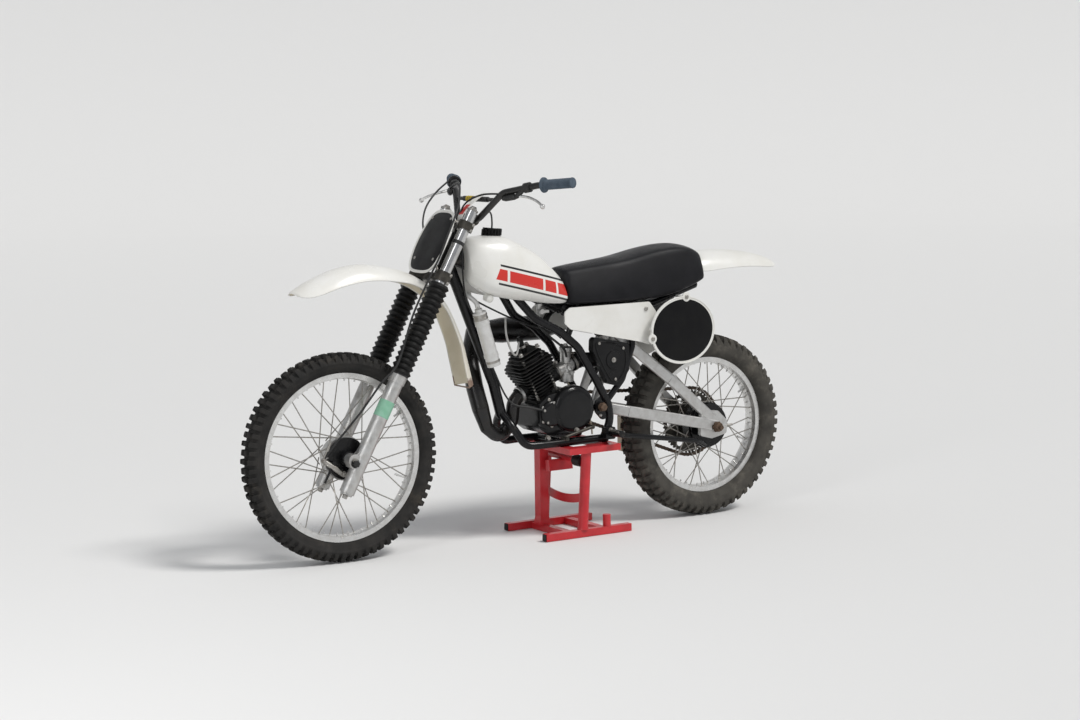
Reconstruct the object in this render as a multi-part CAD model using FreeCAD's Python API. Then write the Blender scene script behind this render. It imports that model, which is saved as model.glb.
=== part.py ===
import FreeCAD, Part
import math
import os

from FreeCAD import Vector

# A single-shock motocross bike standing on a paddock stand.
# Lengths are in millimetres and angles in degrees. In the tables and calls below, x is measured forward
# from the rear axle, y to the rider's left from the middle plane and z up from the ground.

# Wheels
WHEELBASE = 1465.0
FRONT_TYRE_RADIUS = 350.0
FRONT_TYRE_WIDTH = 84.0
FRONT_RIM_RADIUS = 281.5
FRONT_RIM_WIDTH = 50.0
REAR_TYRE_RADIUS = 327.0
REAR_TYRE_WIDTH = 112.0
REAR_RIM_RADIUS = 243.5
REAR_RIM_WIDTH = 62.0
LUG_HEIGHT = 15.0
LUG_ROWS = 30
TREAD_DROP = 18.0
RIM_DEPTH = 21.0
BEAD_SEAT_DROP = 13.0
SPOKES_PER_WHEEL = 36
SPOKE_DIAMETER = 4.0
AXLE_RADIUS = 8.5
RUNNING_FIT = 0.08
SEAT_GAP = 0.3

# Steering and fork
RAKE = 29.0
CLAMP_OFFSET = 40.0
AXLE_LEAD = 30.0
FORK_SPREAD = 190.0
STANCHION_RADIUS = 19.0
SLIDER_RADIUS = 25.5
GAITER_RADIUS = 37.0
GAITER_FOLDS = 17
STEER_AT_REST = -3.0
# Heights along the fork, measured up the fork from the foot of the front axle
SLIDER_BOTTOM = -112.0
SLIDER_TOP = 322.0
UPPER_CLAMP = 868.0
UPPER_CLAMP_DEPTH = 28.0
HEAD_TUBE_LENGTH = 151.0
LOWER_CLAMP_DEPTH = 34.0
FORK_TOP_REACH = 58.0
GAITER_GAP = 9.0
HEAD_TUBE_RADIUS = 27.0
CLAMP_BOSS_RADIUS = 22.0
STEM_RADIUS = 13.0
HEAD_CLEARANCE = 3.0
CLAMP_SPACING = (UPPER_CLAMP_DEPTH + LOWER_CLAMP_DEPTH) / 2.0 + HEAD_TUBE_LENGTH + 2 * HEAD_CLEARANCE
LOWER_CLAMP = UPPER_CLAMP - CLAMP_SPACING
GAITER_TOP = LOWER_CLAMP - LOWER_CLAMP_DEPTH / 2.0 - GAITER_GAP
FORK_TOP = UPPER_CLAMP + FORK_TOP_REACH

# Handlebar
BAR_RADIUS = 11.0
BAR_HALF_WIDTH = 425.0
GRIP_LENGTH = 122.0
GRIP_RADIUS = 16.0
LEVER_PERCH_GAP = 95.0

# Frame
TUBE_RADIUS = 14.0
RAIL_RADIUS = 11.0
DOWN_TUBE_X = 868.0
DOWN_TUBE_Z = 545.0
DOWN_TUBE_SLOPE = 0.365
DOWN_TUBE_RADIUS = 19.0
BACKBONE_RADIUS = 35.0
CRADLE_HALF_WIDTH = 85.0
CRADLE_HEIGHT = 330.0
PIVOT_X = 490.0
PIVOT_Z = 442.0
TANK_GAP = 4.0
PIVOT_BOLT_RADIUS = 9.0
PIVOT_TUBE_RADIUS = 18.0

# Engine
CRANK_X = 650.0
CRANK_Z = 440.0
CYLINDER_LEAN = 24.0
CASE_HALF_WIDTH = 76.0
CLUTCH_X = 604.0
CLUTCH_Z = 445.0
CLUTCH_COVER_RADIUS = 82.0
CLUTCH_COVER_DEPTH = 34.0
FIN_LENGTH = 140.0
FIN_WIDTH = 132.0
FIN_THICKNESS = 3.0
FIN_PITCH = 12.5
CYLINDER_FINS = 9
HEAD_FINS = 5
CYLINDER_BASE = 50.0
CYLINDER_HEIGHT = 130.0
PORT_HEIGHT = 98.0
PORT_REACH = 84.0
BARREL_RADIUS = 39.0

# Final drive, on the right-hand side
CHAIN_PITCH = 15.875
REAR_TEETH = 48
FRONT_TEETH = 13
CHAIN_Y = -68.0
SPROCKET_THICKNESS = 6.0
CHAIN_INNER = 5.5
CHAIN_OUTER = 6.5
OUTER_PLATE_Y = 7.0
INNER_PLATE_Y = 4.5
FRONT_SPROCKET_X = 552.0
FRONT_SPROCKET_Z = 444.0

# Stand
STAND_X = 552.0
STAND_FOOT_LENGTH = 350.0
STAND_FOOT_SPREAD = 250.0
STAND_TUBE = 32.0
STAND_TOP_LENGTH = 210.0
STAND_TOP_WIDTH = 300.0
STAND_TOP_DEPTH = 22.0

REAR_AXLE_X = -(WHEELBASE + FRONT_TYRE_RADIUS - REAR_TYRE_RADIUS) / 2.0
ACROSS = Vector(0, 1, 0)
UP = Vector(0, 0, 1)
FORK_UP = Vector(-math.sin(math.radians(RAKE)), 0, math.cos(math.radians(RAKE)))
FORK_FORWARD = Vector(math.cos(math.radians(RAKE)), 0, math.sin(math.radians(RAKE)))
LEAN_UP = Vector(math.sin(math.radians(CYLINDER_LEAN)), 0, math.cos(math.radians(CYLINDER_LEAN)))
LEAN_FORWARD = Vector(LEAN_UP.z, 0, -LEAN_UP.x)

nodes = {}
steered = []


def at(x, y, z):
    return Vector(REAR_AXLE_X + x, y, z)


FRONT_AXLE = at(WHEELBASE, 0, FRONT_TYRE_RADIUS)
REAR_AXLE = at(0, 0, REAR_TYRE_RADIUS)
STEERING_FOOT = FRONT_AXLE - FORK_FORWARD * (CLAMP_OFFSET + AXLE_LEAD)
PIVOT = at(PIVOT_X, 0, PIVOT_Z)
CRANK = at(CRANK_X, 0, CRANK_Z)
BACKBONE_REAR = at(604.0, 0, 805.0)
BACKBONE_FRONT = UPPER_CLAMP - UPPER_CLAMP_DEPTH / 2.0 - HEAD_CLEARANCE - 0.437 * HEAD_TUBE_LENGTH
SHOCK_EYE = at(394.0, 0, 690.0)


def on_fork(height, y=0.0, forward=0.0):
    """A point given by its height up the steering axis and its distance ahead of that axis."""
    return STEERING_FOOT + FORK_UP * height + FORK_FORWARD * forward + ACROSS * y


def on_cylinder(height, forward=0.0, y=0.0):
    """A point given in the leaning cylinder's own directions, from the crankshaft."""
    return CRANK + LEAN_UP * height + LEAN_FORWARD * forward + ACROSS * y


def direction(start, end):
    step = end - start
    return step / step.Length


def rod(start, end, radius, bore=0.0):
    length = (end - start).Length
    solid = Part.makeCylinder(radius, length, start, end - start)
    if bore:
        solid = solid.cut(Part.makeCylinder(bore, length, start, end - start))
    return solid


def ring(centre, axis, radius, bore, half_width):
    return rod(centre - axis * half_width, centre + axis * half_width, radius, bore)


def corner(before, point, after, radius):
    """The tangent arc that rounds one corner of a path, as its start, middle and end."""
    back = direction(point, before)
    on = direction(point, after)
    half_turn = (math.pi - back.getAngle(on)) / 2.0
    if half_turn < 0.004:
        return None
    reach = min(radius * math.tan(half_turn), 0.45 * min((before - point).Length, (after - point).Length))
    radius = reach / math.tan(half_turn)
    inward = (back + on) / (back + on).Length
    middle = point + inward * (radius / math.cos(half_turn) - radius)
    return point + back * reach, middle, point + on * reach


def path(points, radius, closed=False):
    """Straight runs joined by tangent arcs."""
    count = len(points)
    arcs = [None] * count
    for i in range(count):
        if closed or 0 < i < count - 1:
            arcs[i] = corner(points[i - 1], points[i], points[(i + 1) % count], radius)
    edges = []
    for i in range(count if closed else count - 1):
        j = (i + 1) % count
        start = arcs[i][2] if arcs[i] else points[i]
        end = arcs[j][0] if arcs[j] else points[j]
        edges.append(Part.LineSegment(start, end).toShape())
        if arcs[j]:
            edges.append(Part.Arc(*arcs[j]).toShape())
    return Part.Wire(edges)


def tube(points, radius, bend):
    """A round bar along straight runs, with a turned bend at each corner."""
    start = points[0]
    shapes = []
    for i in range(1, len(points)):
        arc = corner(points[i - 1], points[i], points[i + 1], bend) if i < len(points) - 1 else None
        end = arc[0] if arc else points[i]
        shapes.append(rod(start, end, radius))
        if arc:
            shapes.append(turned_bend(arc, points[i], radius))
        start = arc[2] if arc else end
    return fused(shapes)


def turned_bend(arc, point, radius):
    """The bend of a round bar: its section turned about the centre of the corner's arc."""
    start, middle, end = arc
    come = direction(start, point)
    leave = direction(point, end)
    axis = come.cross(leave)
    axis = axis / axis.Length
    turn = come.getAngle(leave)
    bend = (start - point).Length / math.tan(turn / 2.0)
    centre = start + axis.cross(come) * bend
    section = Part.Face(Part.Wire([Part.Circle(start, come, radius).toShape()]))
    return section.revolve(centre, axis, math.degrees(turn))


def plate(outline, y_low, y_high, rounding=0.0):
    """A flat plate across the bike whose (x, z) outline has rounded corners."""
    points = [at(x, y_low, z) for x, z in outline]
    wire = path(points, rounding, closed=True) if rounding else Part.makePolygon(points + points[:1])
    return Part.Face(wire).extrude(ACROSS * (y_high - y_low))


def revolve(profile, centre, axis=ACROSS, outward=UP):
    """A full turn about the axis of a closed (along, out) profile."""
    points = [centre + axis * along + outward * out for along, out in profile]
    face = Part.Face(Part.makePolygon(points + points[:1]))
    return face.revolve(centre, axis, 360)


def slab(centre, size, along=Vector(1, 0, 0), rounding=0.0):
    """A box about its centre, turned so that its length lies along the given direction in the x-z plane."""
    length, width, height = size
    box = Part.makeBox(length, width, height, Vector(-length / 2, -width / 2, -height / 2))
    if rounding:
        upright = [e for e in box.Edges if abs(e.tangentAt(e.FirstParameter).z) > 0.9]
        box = box.makeFillet(rounding, upright)
    box.rotate(Vector(0, 0, 0), ACROSS, -math.degrees(math.atan2(along.z, along.x)))
    box.translate(centre)
    return box


def mirrored(shape):
    return shape.mirror(Vector(0, 0, 0), ACROSS)


def both_sides(shape):
    return Part.makeCompound([shape, mirrored(shape)])


def fused(shapes):
    return shapes[0].multiFuse(shapes[1:]).removeSplitter()


def add(name, shape, turns=False):
    nodes[name] = shape
    if turns:
        steered.append(name)


def closed_solid(polygons):
    """A solid bounded by flat polygons that share their edges."""
    faces = [Part.Face(Part.makePolygon(points + points[:1])) for points in polygons]
    sewn = Part.makeCompound(faces)
    sewn.sewShape()
    return outward(Part.Solid(sewn.Shells[0]))


def tyre(centre, sizes):
    """A knobby tyre with flat facets: side lugs and centre blocks take turns round it."""
    radius, width, rim_radius, rim_width = sizes
    count = 2 * LUG_ROWS
    bead = (rim_radius - BEAD_SEAT_DROP) / math.cos(math.pi / count)
    seat = rim_width / 2 - 4.0
    crown = radius - LUG_HEIGHT
    widest = (rim_radius + crown) / 2
    # Columns: distance across and carcass radius of the tread's edges, from right to left
    half = [(width * 0.24, crown), (width * 0.31, crown - 3.0), (width / 2, crown - TREAD_DROP)]
    tread = [(-y, out) for y, out in reversed(half)] + half
    side = [tread[-1], (width / 2 - 3.0, widest), (seat, rim_radius + 2.0), (seat, bead)]
    side += [(-y, out) for y, out in reversed(side)]

    def place(i, edge, lug=0.0):
        turn = 2 * math.pi * i / count
        return centre + Vector(math.cos(turn), 0, math.sin(turn)) * (edge[1] + lug) + ACROSS * edge[0]

    polygons = []
    for i in range(count):
        for low, high in zip(side, side[1:]):
            polygons.append([place(i, low), place(i, high), place(i + 1, high), place(i + 1, low)])
        for column in range(len(tread) - 1):
            low = tread[column]
            high = tread[column + 1]
            at_side = column in (0, len(tread) - 2)
            in_middle = column == 2
            lug = LUG_HEIGHT if (at_side and i % 2 == 0) or (in_middle and i % 2) else 0.0
            top = [place(i, low, lug), place(i, high, lug), place(i + 1, high, lug), place(i + 1, low, lug)]
            polygons.append(top)
            if lug:
                foot = [place(i, low), place(i, high), place(i + 1, high), place(i + 1, low)]
                for k in range(4):
                    polygons.append([foot[k], foot[(k + 1) % 4], top[(k + 1) % 4], top[k]])
    return closed_solid(polygons)


def rim(centre, radius, width):
    """An alloy rim with a flange at each side and a well between them."""
    edge = width / 2
    bead = radius - BEAD_SEAT_DROP
    inner = radius - RIM_DEPTH
    half = [
        (edge, radius),
        (edge - 3.6, radius),
        (edge - 3.6, bead - 0.2),
        (edge * 0.45, bead - 0.2),
        (edge * 0.35, bead - 4.0),
    ]
    under = [(edge * 0.5, inner), (edge - 1.0, inner + 4.0)]
    outer = half + [(-along, out) for along, out in reversed(half)]
    inside = [(-along, out) for along, out in reversed(under)] + under
    return revolve(outer + inside, centre)


def spokes(centre, hub_radius, flange_y, rim_radius, rim_inner_y):
    """Spokes laced from both hub flanges to the rim, each leaning one way or the other."""
    end_radius = rim_radius - RIM_DEPTH + 1.0
    pieces = []
    for i in range(SPOKES_PER_WHEEL):
        side = 1.0 if i % 2 else -1.0
        way = 1.0 if (i // 2) % 2 else -1.0
        rim_angle = 2 * math.pi * i / SPOKES_PER_WHEEL
        hub_angle = rim_angle + way * math.radians(62.0)
        low_y = flange_y[0] if side < 0 else flange_y[1]
        low_y = low_y + way * SPOKE_DIAMETER * 0.75
        start = centre + Vector(hub_radius * math.cos(hub_angle), low_y, hub_radius * math.sin(hub_angle))
        end = centre + Vector(
            end_radius * math.cos(rim_angle), side * rim_inner_y, end_radius * math.sin(rim_angle)
        )
        along = end - start
        side_way = along.cross(ACROSS)
        side_way = side_way / side_way.Length
        third_way = along.cross(side_way)
        third_way = third_way / third_way.Length
        corners = []
        for k in range(6):
            turn = math.radians(60.0 * k)
            corners.append(
                start + (side_way * math.cos(turn) + third_way * math.sin(turn)) * (SPOKE_DIAMETER / 2)
            )
        pieces.append(Part.Face(Part.makePolygon(corners + corners[:1])).extrude(along))
    return pieces


def hub(centre, flanges, barrel_radius, drum=None):
    """A hub turned from flanges listed as (y, radius, half width), with a bore for the axle."""
    bore = AXLE_RADIUS + RUNNING_FIT
    low = min(y - half for y, radius, half in flanges)
    high = max(y + half for y, radius, half in flanges)
    shapes = [rod(centre + ACROSS * low, centre + ACROSS * high, barrel_radius)]
    for y, radius, half in flanges:
        shapes.append(ring(centre + ACROSS * y, ACROSS, radius, 0.0, half))
    body = fused(shapes)
    if drum:
        mouth, floor, radius = drum
        body = body.cut(rod(centre + ACROSS * mouth, centre + ACROSS * floor, radius))
    return body.cut(rod(centre + ACROSS * (low - 5), centre + ACROSS * (high + 5), bore))


def build_front_wheel():
    sizes = (FRONT_TYRE_RADIUS, FRONT_TYRE_WIDTH, FRONT_RIM_RADIUS, FRONT_RIM_WIDTH)
    add("front_tyre", tyre(FRONT_AXLE, sizes), True)
    front_rim = rim(FRONT_AXLE, FRONT_RIM_RADIUS, FRONT_RIM_WIDTH)
    add("front_rim", front_rim, True)
    flanges = [(36.0, 74.0, 3.0), (-34.0, 42.0, 3.0), (14.0, 70.0, 19.0)]
    front_hub = hub(FRONT_AXLE, flanges, 27.0, drum=(45.0, 8.0, 62.0))
    add("front_hub", front_hub, True)
    laced = spokes(FRONT_AXLE, 62.0, (-34.0, 36.0), FRONT_RIM_RADIUS, 6.0)
    add("front_spokes", Part.makeCompound([largest(s.cut(front_hub).cut(front_rim)) for s in laced]), True)


def build_rear_wheel():
    sizes = (REAR_TYRE_RADIUS, REAR_TYRE_WIDTH, REAR_RIM_RADIUS, REAR_RIM_WIDTH)
    add("rear_tyre", tyre(REAR_AXLE, sizes))
    rear_rim = rim(REAR_AXLE, REAR_RIM_RADIUS, REAR_RIM_WIDTH)
    add("rear_rim", rear_rim)
    flanges = [(42.0, 82.0, 3.0), (-40.0, 50.0, 3.0), (20.0, 78.0, 20.0)]
    rear_hub = hub(REAR_AXLE, flanges, 30.0, drum=(50.0, 12.0, 68.0))
    add("rear_hub", rear_hub)
    laced = spokes(REAR_AXLE, 70.0, (-40.0, 42.0), REAR_RIM_RADIUS, 8.0)
    add("rear_spokes", Part.makeCompound([largest(s.cut(rear_hub).cut(rear_rim)) for s in laced]))
    pitch_radius = CHAIN_PITCH / 2 / math.sin(math.pi / REAR_TEETH)
    centre = REAR_AXLE + ACROSS * CHAIN_Y
    disc = toothed(centre, REAR_TEETH, pitch_radius - CHAIN_INNER - 1.5, 6.0, SPROCKET_THICKNESS / 2)
    disc = disc.cut(ring(centre, ACROSS, AXLE_RADIUS + 20.0, 0.0, SPROCKET_THICKNESS))
    holes = []
    for k in range(6):
        turn = math.radians(60.0 * k)
        offset = Vector(math.cos(turn), 0, math.sin(turn)) * 84.0
        holes.append(ring(centre + offset, ACROSS, 15.0, 0.0, SPROCKET_THICKNESS))
    carrier = ring(REAR_AXLE + ACROSS * -57.0, ACROSS, 48.0, AXLE_RADIUS + RUNNING_FIT, 14.0)
    add("rear_sprocket", fused([disc.cut(Part.makeCompound(holes)), carrier]))


def toothed(centre, teeth, tip_radius, tooth_height, half_width):
    """A toothed disc across the bike."""
    points = []
    for k in range(teeth):
        for share, drop in ((-0.34, tooth_height), (-0.12, 0.0), (0.12, 0.0), (0.34, tooth_height)):
            turn = 2 * math.pi * (k + share) / teeth
            points.append(centre + Vector(math.cos(turn), 0, math.sin(turn)) * (tip_radius - drop))
    disc = Part.Face(Part.makePolygon(points + points[:1])).extrude(ACROSS * (2 * half_width))
    disc.translate(ACROSS * -half_width)
    return disc


def fork_tube(low, high, radius, bore=0.0):
    return rod(
        on_fork(low, FORK_SPREAD / 2, CLAMP_OFFSET), on_fork(high, FORK_SPREAD / 2, CLAMP_OFFSET), radius, bore
    )


def build_fork():
    stanchion = fork_tube(SLIDER_TOP - 60.0, FORK_TOP - 8.0, STANCHION_RADIUS)
    stanchion = fused([stanchion, fork_tube(FORK_TOP - 8.0, FORK_TOP, STANCHION_RADIUS - 3.0)])
    add("fork_tubes", both_sides(stanchion), True)

    slider = fork_tube(SLIDER_BOTTOM + 6.0, SLIDER_TOP, SLIDER_RADIUS)
    foot = fork_tube(SLIDER_BOTTOM, SLIDER_BOTTOM + 6.0, SLIDER_RADIUS - 5.0)
    collar = fork_tube(SLIDER_TOP - 30.0, SLIDER_TOP, SLIDER_RADIUS + 3.0)
    y = FORK_SPREAD / 2
    axle = FRONT_AXLE + ACROSS * y
    boss = ring(axle, ACROSS, 21.0, 0.0, 20.0)
    web_low = on_fork(-45.0, y, CLAMP_OFFSET)
    web_high = on_fork(95.0, y, CLAMP_OFFSET)
    lug_points = [web_low - ACROSS * 12, axle - ACROSS * 12 - FORK_UP * 18, axle - ACROSS * 12 + FORK_UP * 20]
    lug_points.append(web_high - ACROSS * 12)
    lug = Part.Face(Part.makePolygon(lug_points + lug_points[:1])).extrude(ACROSS * 24)
    leg = fused([slider, foot, collar, boss, lug])
    leg = leg.cut(fork_tube(SLIDER_TOP - 60.0, SLIDER_TOP + 5.0, STANCHION_RADIUS))
    leg = leg.cut(ring(axle, ACROSS, AXLE_RADIUS, 0.0, 60.0))
    add("fork_legs", both_sides(leg), True)

    pitch = (GAITER_TOP - SLIDER_TOP) / GAITER_FOLDS
    outline = [(0.0, STANCHION_RADIUS + 0.3), (0.0, GAITER_RADIUS - 8.0)]
    for i in range(GAITER_FOLDS):
        outline.append(((i + 0.5) * pitch, GAITER_RADIUS))
        outline.append(((i + 1) * pitch, GAITER_RADIUS - 8.0))
    outline.append((GAITER_FOLDS * pitch, STANCHION_RADIUS + 0.3))
    base = on_fork(SLIDER_TOP + 0.3, FORK_SPREAD / 2, CLAMP_OFFSET)
    gaiter = revolve(outline, base, FORK_UP, ACROSS)
    add("fork_gaiters", both_sides(gaiter), True)

    axle_reach = FORK_SPREAD / 2 + 26.0
    shank = rod(FRONT_AXLE - ACROSS * axle_reach, FRONT_AXLE + ACROSS * axle_reach, AXLE_RADIUS)
    spacer = rod(FRONT_AXLE - ACROSS * (y - 20.0), FRONT_AXLE - ACROSS * 40.0, 13.0)
    add("front_axle", fused([shank, spacer]), True)


def clamp(height, depth):
    """A fork clamp: a web over the steering axis with a split ring round each fork tube."""
    low = height - depth / 2
    high = height + depth / 2
    spread = FORK_SPREAD / 2
    # Columns: y and distance ahead of the steering axis, of the web's left half from back to front
    half = [(20.0, -12.0), (spread, CLAMP_OFFSET - 26.0), (spread, CLAMP_OFFSET + 22.0), (36.0, CLAMP_OFFSET + 4.0)]
    corners = half + [(-y, forward) for y, forward in reversed(half)]
    points = [on_fork(low + 5.0, y, forward) for y, forward in corners]
    web = Part.Face(path(points, 12.0, closed=True)).extrude(FORK_UP * (depth - 10.0))
    shapes = [web, rod(on_fork(low), on_fork(high), CLAMP_BOSS_RADIUS)]
    bores = []
    for side in (-1, 1):
        foot = on_fork(low, side * spread, CLAMP_OFFSET)
        shapes.append(rod(foot, foot + FORK_UP * depth, STANCHION_RADIUS + 8.0))
        bores.append(rod(foot - FORK_UP * 5.0, foot + FORK_UP * (depth + 5.0), STANCHION_RADIUS))
    return fused(shapes).cut(Part.makeCompound(bores))


def build_clamps():
    stem_top = UPPER_CLAMP + UPPER_CLAMP_DEPTH / 2 + 14.0
    stem = rod(on_fork(LOWER_CLAMP), on_fork(stem_top - 14.0), STEM_RADIUS)
    nut = rod(on_fork(UPPER_CLAMP + UPPER_CLAMP_DEPTH / 2 - 5.0), on_fork(stem_top), 17.0)
    lower = fused([clamp(LOWER_CLAMP, LOWER_CLAMP_DEPTH), stem])
    add("lower_clamp", lower, True)

    upper = clamp(UPPER_CLAMP, UPPER_CLAMP_DEPTH)
    upper = upper.cut(rod(on_fork(UPPER_CLAMP - 40), on_fork(UPPER_CLAMP + 40), STEM_RADIUS))
    bar_centre = bar_point(0.0)
    mounts = []
    for side in (-1, 1):
        y = side * 35.0
        mounts.append(slab(on_fork(UPPER_CLAMP + 22.0, y, 0.0), (28.0, 24.0, 30.0), FORK_FORWARD))
        mounts.append(ring(bar_centre + ACROSS * y, ACROSS, 20.0, 0.0, 12.0))
    upper = fused([upper, nut.cut(rod(on_fork(0.0), on_fork(stem_top - 14.0), STEM_RADIUS))] + mounts)
    upper = upper.cut(ring(bar_centre, ACROSS, BAR_RADIUS, 0.0, 70.0))
    add("upper_clamp", upper, True)


def bar_point(y):
    """The middle of the handlebar at its lowest, straight run."""
    return on_fork(UPPER_CLAMP + 44.0, y, -4.0)


def build_handlebar():
    # Columns: y, distance behind and height above the clamp, of the bar's left half
    left_half = [
        (0.0, 0.0, 0.0),
        (70.0, 0.0, 0.0),
        (0.395 * BAR_HALF_WIDTH, 46.0, 91.0),
        (BAR_HALF_WIDTH - GRIP_LENGTH - 11.0, 108.0, 115.0),
        (BAR_HALF_WIDTH - 2.0, 166.0, 124.0),
    ]
    points = [bar_point(y) + Vector(-behind, 0, above) for y, behind, above in left_half]
    bar = tube(points, BAR_RADIUS, 50.0)
    crossbar_low = points[1] + (points[2] - points[1]) * 0.74
    crossbar = rod(Vector(crossbar_low.x, 0, crossbar_low.z), crossbar_low, 6.5)
    half = fused([bar, crossbar])
    add("handlebar", fused([half, mirrored(half)]), True)

    grip_way = direction(points[4], points[3])
    grip_end = points[4] - grip_way * 2.0
    grip = rod(grip_end, grip_end + grip_way * GRIP_LENGTH, GRIP_RADIUS)
    flange = rod(grip_end + grip_way * (GRIP_LENGTH - 6), grip_end + grip_way * GRIP_LENGTH, GRIP_RADIUS + 9)
    grip = fused([grip, flange]).cut(bar)
    add("grips", both_sides(grip), True)

    inward = direction(points[3], points[2])
    perch_at = points[3] + inward * (LEVER_PERCH_GAP - 42.0)
    ahead = FORK_FORWARD * 0.92 - FORK_UP * 0.39
    perch = fused([
        rod(perch_at - inward * 14, perch_at + inward * 14, BAR_RADIUS + 6.0),
        rod(perch_at, perch_at + ahead * 34.0, 9.0),
    ]).cut(bar)
    pivot = perch_at + ahead * 34.5
    bend = pivot - grip_way * 40.0 + ahead * 22.0
    tip = pivot - grip_way * 120.0 + ahead * 16.0
    lever = tube([pivot + grip_way * 6, bend, tip], 5.0, 40.0)
    ball = Part.makeSphere(8.0, tip)
    add("hand_levers", both_sides(fused([perch, lever, ball])), True)


def build_front_fender():
    # Columns: x, z, half width and edge drop of each section, from the tip back and down behind the fork
    sections = [
        (1640.0, 905.0, 22.0, 6.0),
        (1560.0, 948.0, 52.0, 20.0),
        (1400.0, 983.0, 66.0, 30.0),
        (1260.0, 966.0, 62.0, 34.0),
        (1180.0, 938.0, 54.0, 32.0),
        (1100.0, 884.0, 54.0, 28.0),
        (1050.0, 822.0, 54.0, 24.0),
        (1004.0, 715.0, 56.0, 28.0),
        (964.0, 558.0, 54.0, 36.0),
    ]
    shapes = [shell_along(sections, 3.0)]
    for side in (-1, 1):
        # Spacers that hang the fender under the lower clamp
        foot = on_fork(LOWER_CLAMP - LOWER_CLAMP_DEPTH / 2 - 22.0, side * 26.0, 32.0)
        shapes.append(rod(foot, foot + FORK_UP * 24.0, 8.0))
    fender = fused(shapes).cut(nodes["lower_clamp"])
    add("front_fender", largest(fender), True)


def shell_along(sections, thickness):
    """A channel-shaped shell lofted through cross sections that lie square to a line of (x, z) points."""
    outer = []
    inner = []
    for i, (x, z, half, drop) in enumerate(sections):
        before = sections[max(i - 1, 0)]
        after = sections[min(i + 1, len(sections) - 1)]
        run = Vector(after[0] - before[0], 0, after[1] - before[1])
        run = run / run.Length
        inward = Vector(-run.z, 0, run.x)
        crown = at(x, 0, z)
        for wires, shrink in ((outer, 0.0), (inner, thickness)):
            top = crown + inward * shrink
            low = crown + inward * drop
            left = low + ACROSS * (half - shrink)
            right = low - ACROSS * (half - shrink)
            arc = Part.Arc(left, top, right).toShape()
            wires.append((arc, left, right))
    profiles = []
    for (arc, left, right), (inner_arc, inner_left, inner_right) in zip(outer, inner):
        closing = [Part.LineSegment(right, inner_right).toShape(), Part.LineSegment(inner_left, left).toShape()]
        profiles.append(Part.Wire([arc, closing[0], inner_arc.reversed(), closing[1]]))
    return outward(Part.makeLoft(profiles, True, False))


def outward(solid):
    """The same solid with its faces turned outwards."""
    if solid.Volume < 0:
        solid.reverse()
    return solid


def largest(shape):
    return max(shape.Solids, key=lambda solid: solid.Volume)


def build_front_plate():
    # Columns: height up the fork and half width of the number plate's outline
    outline = [(-176.0, 62.0), (-148.0, 92.0), (-78.0, 108.0), (12.0, 92.0), (54.0, 56.0)]
    ahead = 92.0
    points = [on_fork(UPPER_CLAMP + height, half, ahead) for height, half in outline]
    points += [on_fork(UPPER_CLAMP + height, -half, ahead) for height, half in reversed(outline)]
    shapes = [Part.Face(path(points, 30.0, closed=True)).extrude(FORK_FORWARD * 6.0)]
    for side in (-1, 1):
        # Stays from the back of the plate to the front of each clamp
        for behind, height in ((LOWER_CLAMP + 26.0, LOWER_CLAMP + 4.0), (UPPER_CLAMP, UPPER_CLAMP)):
            front = on_fork(behind, side * 68.0, ahead + 2.0)
            shapes.append(rod(front, on_fork(height, side * 80.0, 56.0), 4.0))
    body = fused(shapes).cut(nodes["lower_clamp"]).cut(nodes["upper_clamp"])
    add("front_number_plate", body.cut(nodes["fork_gaiters"]).cut(nodes["fork_tubes"]), True)


def build_front_brake():
    y_plate = 47.5
    centre = FRONT_AXLE + ACROSS * y_plate
    cover = ring(centre, ACROSS, 70.0, AXLE_RADIUS, 3.0).fuse(
        ring(FRONT_AXLE + ACROSS * 62.0, ACROSS, 26.0, AXLE_RADIUS, 13.0)
    )
    shoe_cam = FRONT_AXLE + Vector(52.0, 0, -10.0)
    cam = rod(shoe_cam + ACROSS * 48.0, shoe_cam + ACROSS * 66.0, 8.0)
    arm = rod(shoe_cam + ACROSS * 61.0, shoe_cam + ACROSS * 61.0 + Vector(34.0, 0, -62.0), 4.0)
    add("front_brake_plate", fused([cover, cam, arm]).cut(nodes["fork_legs"]), True)


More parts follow.
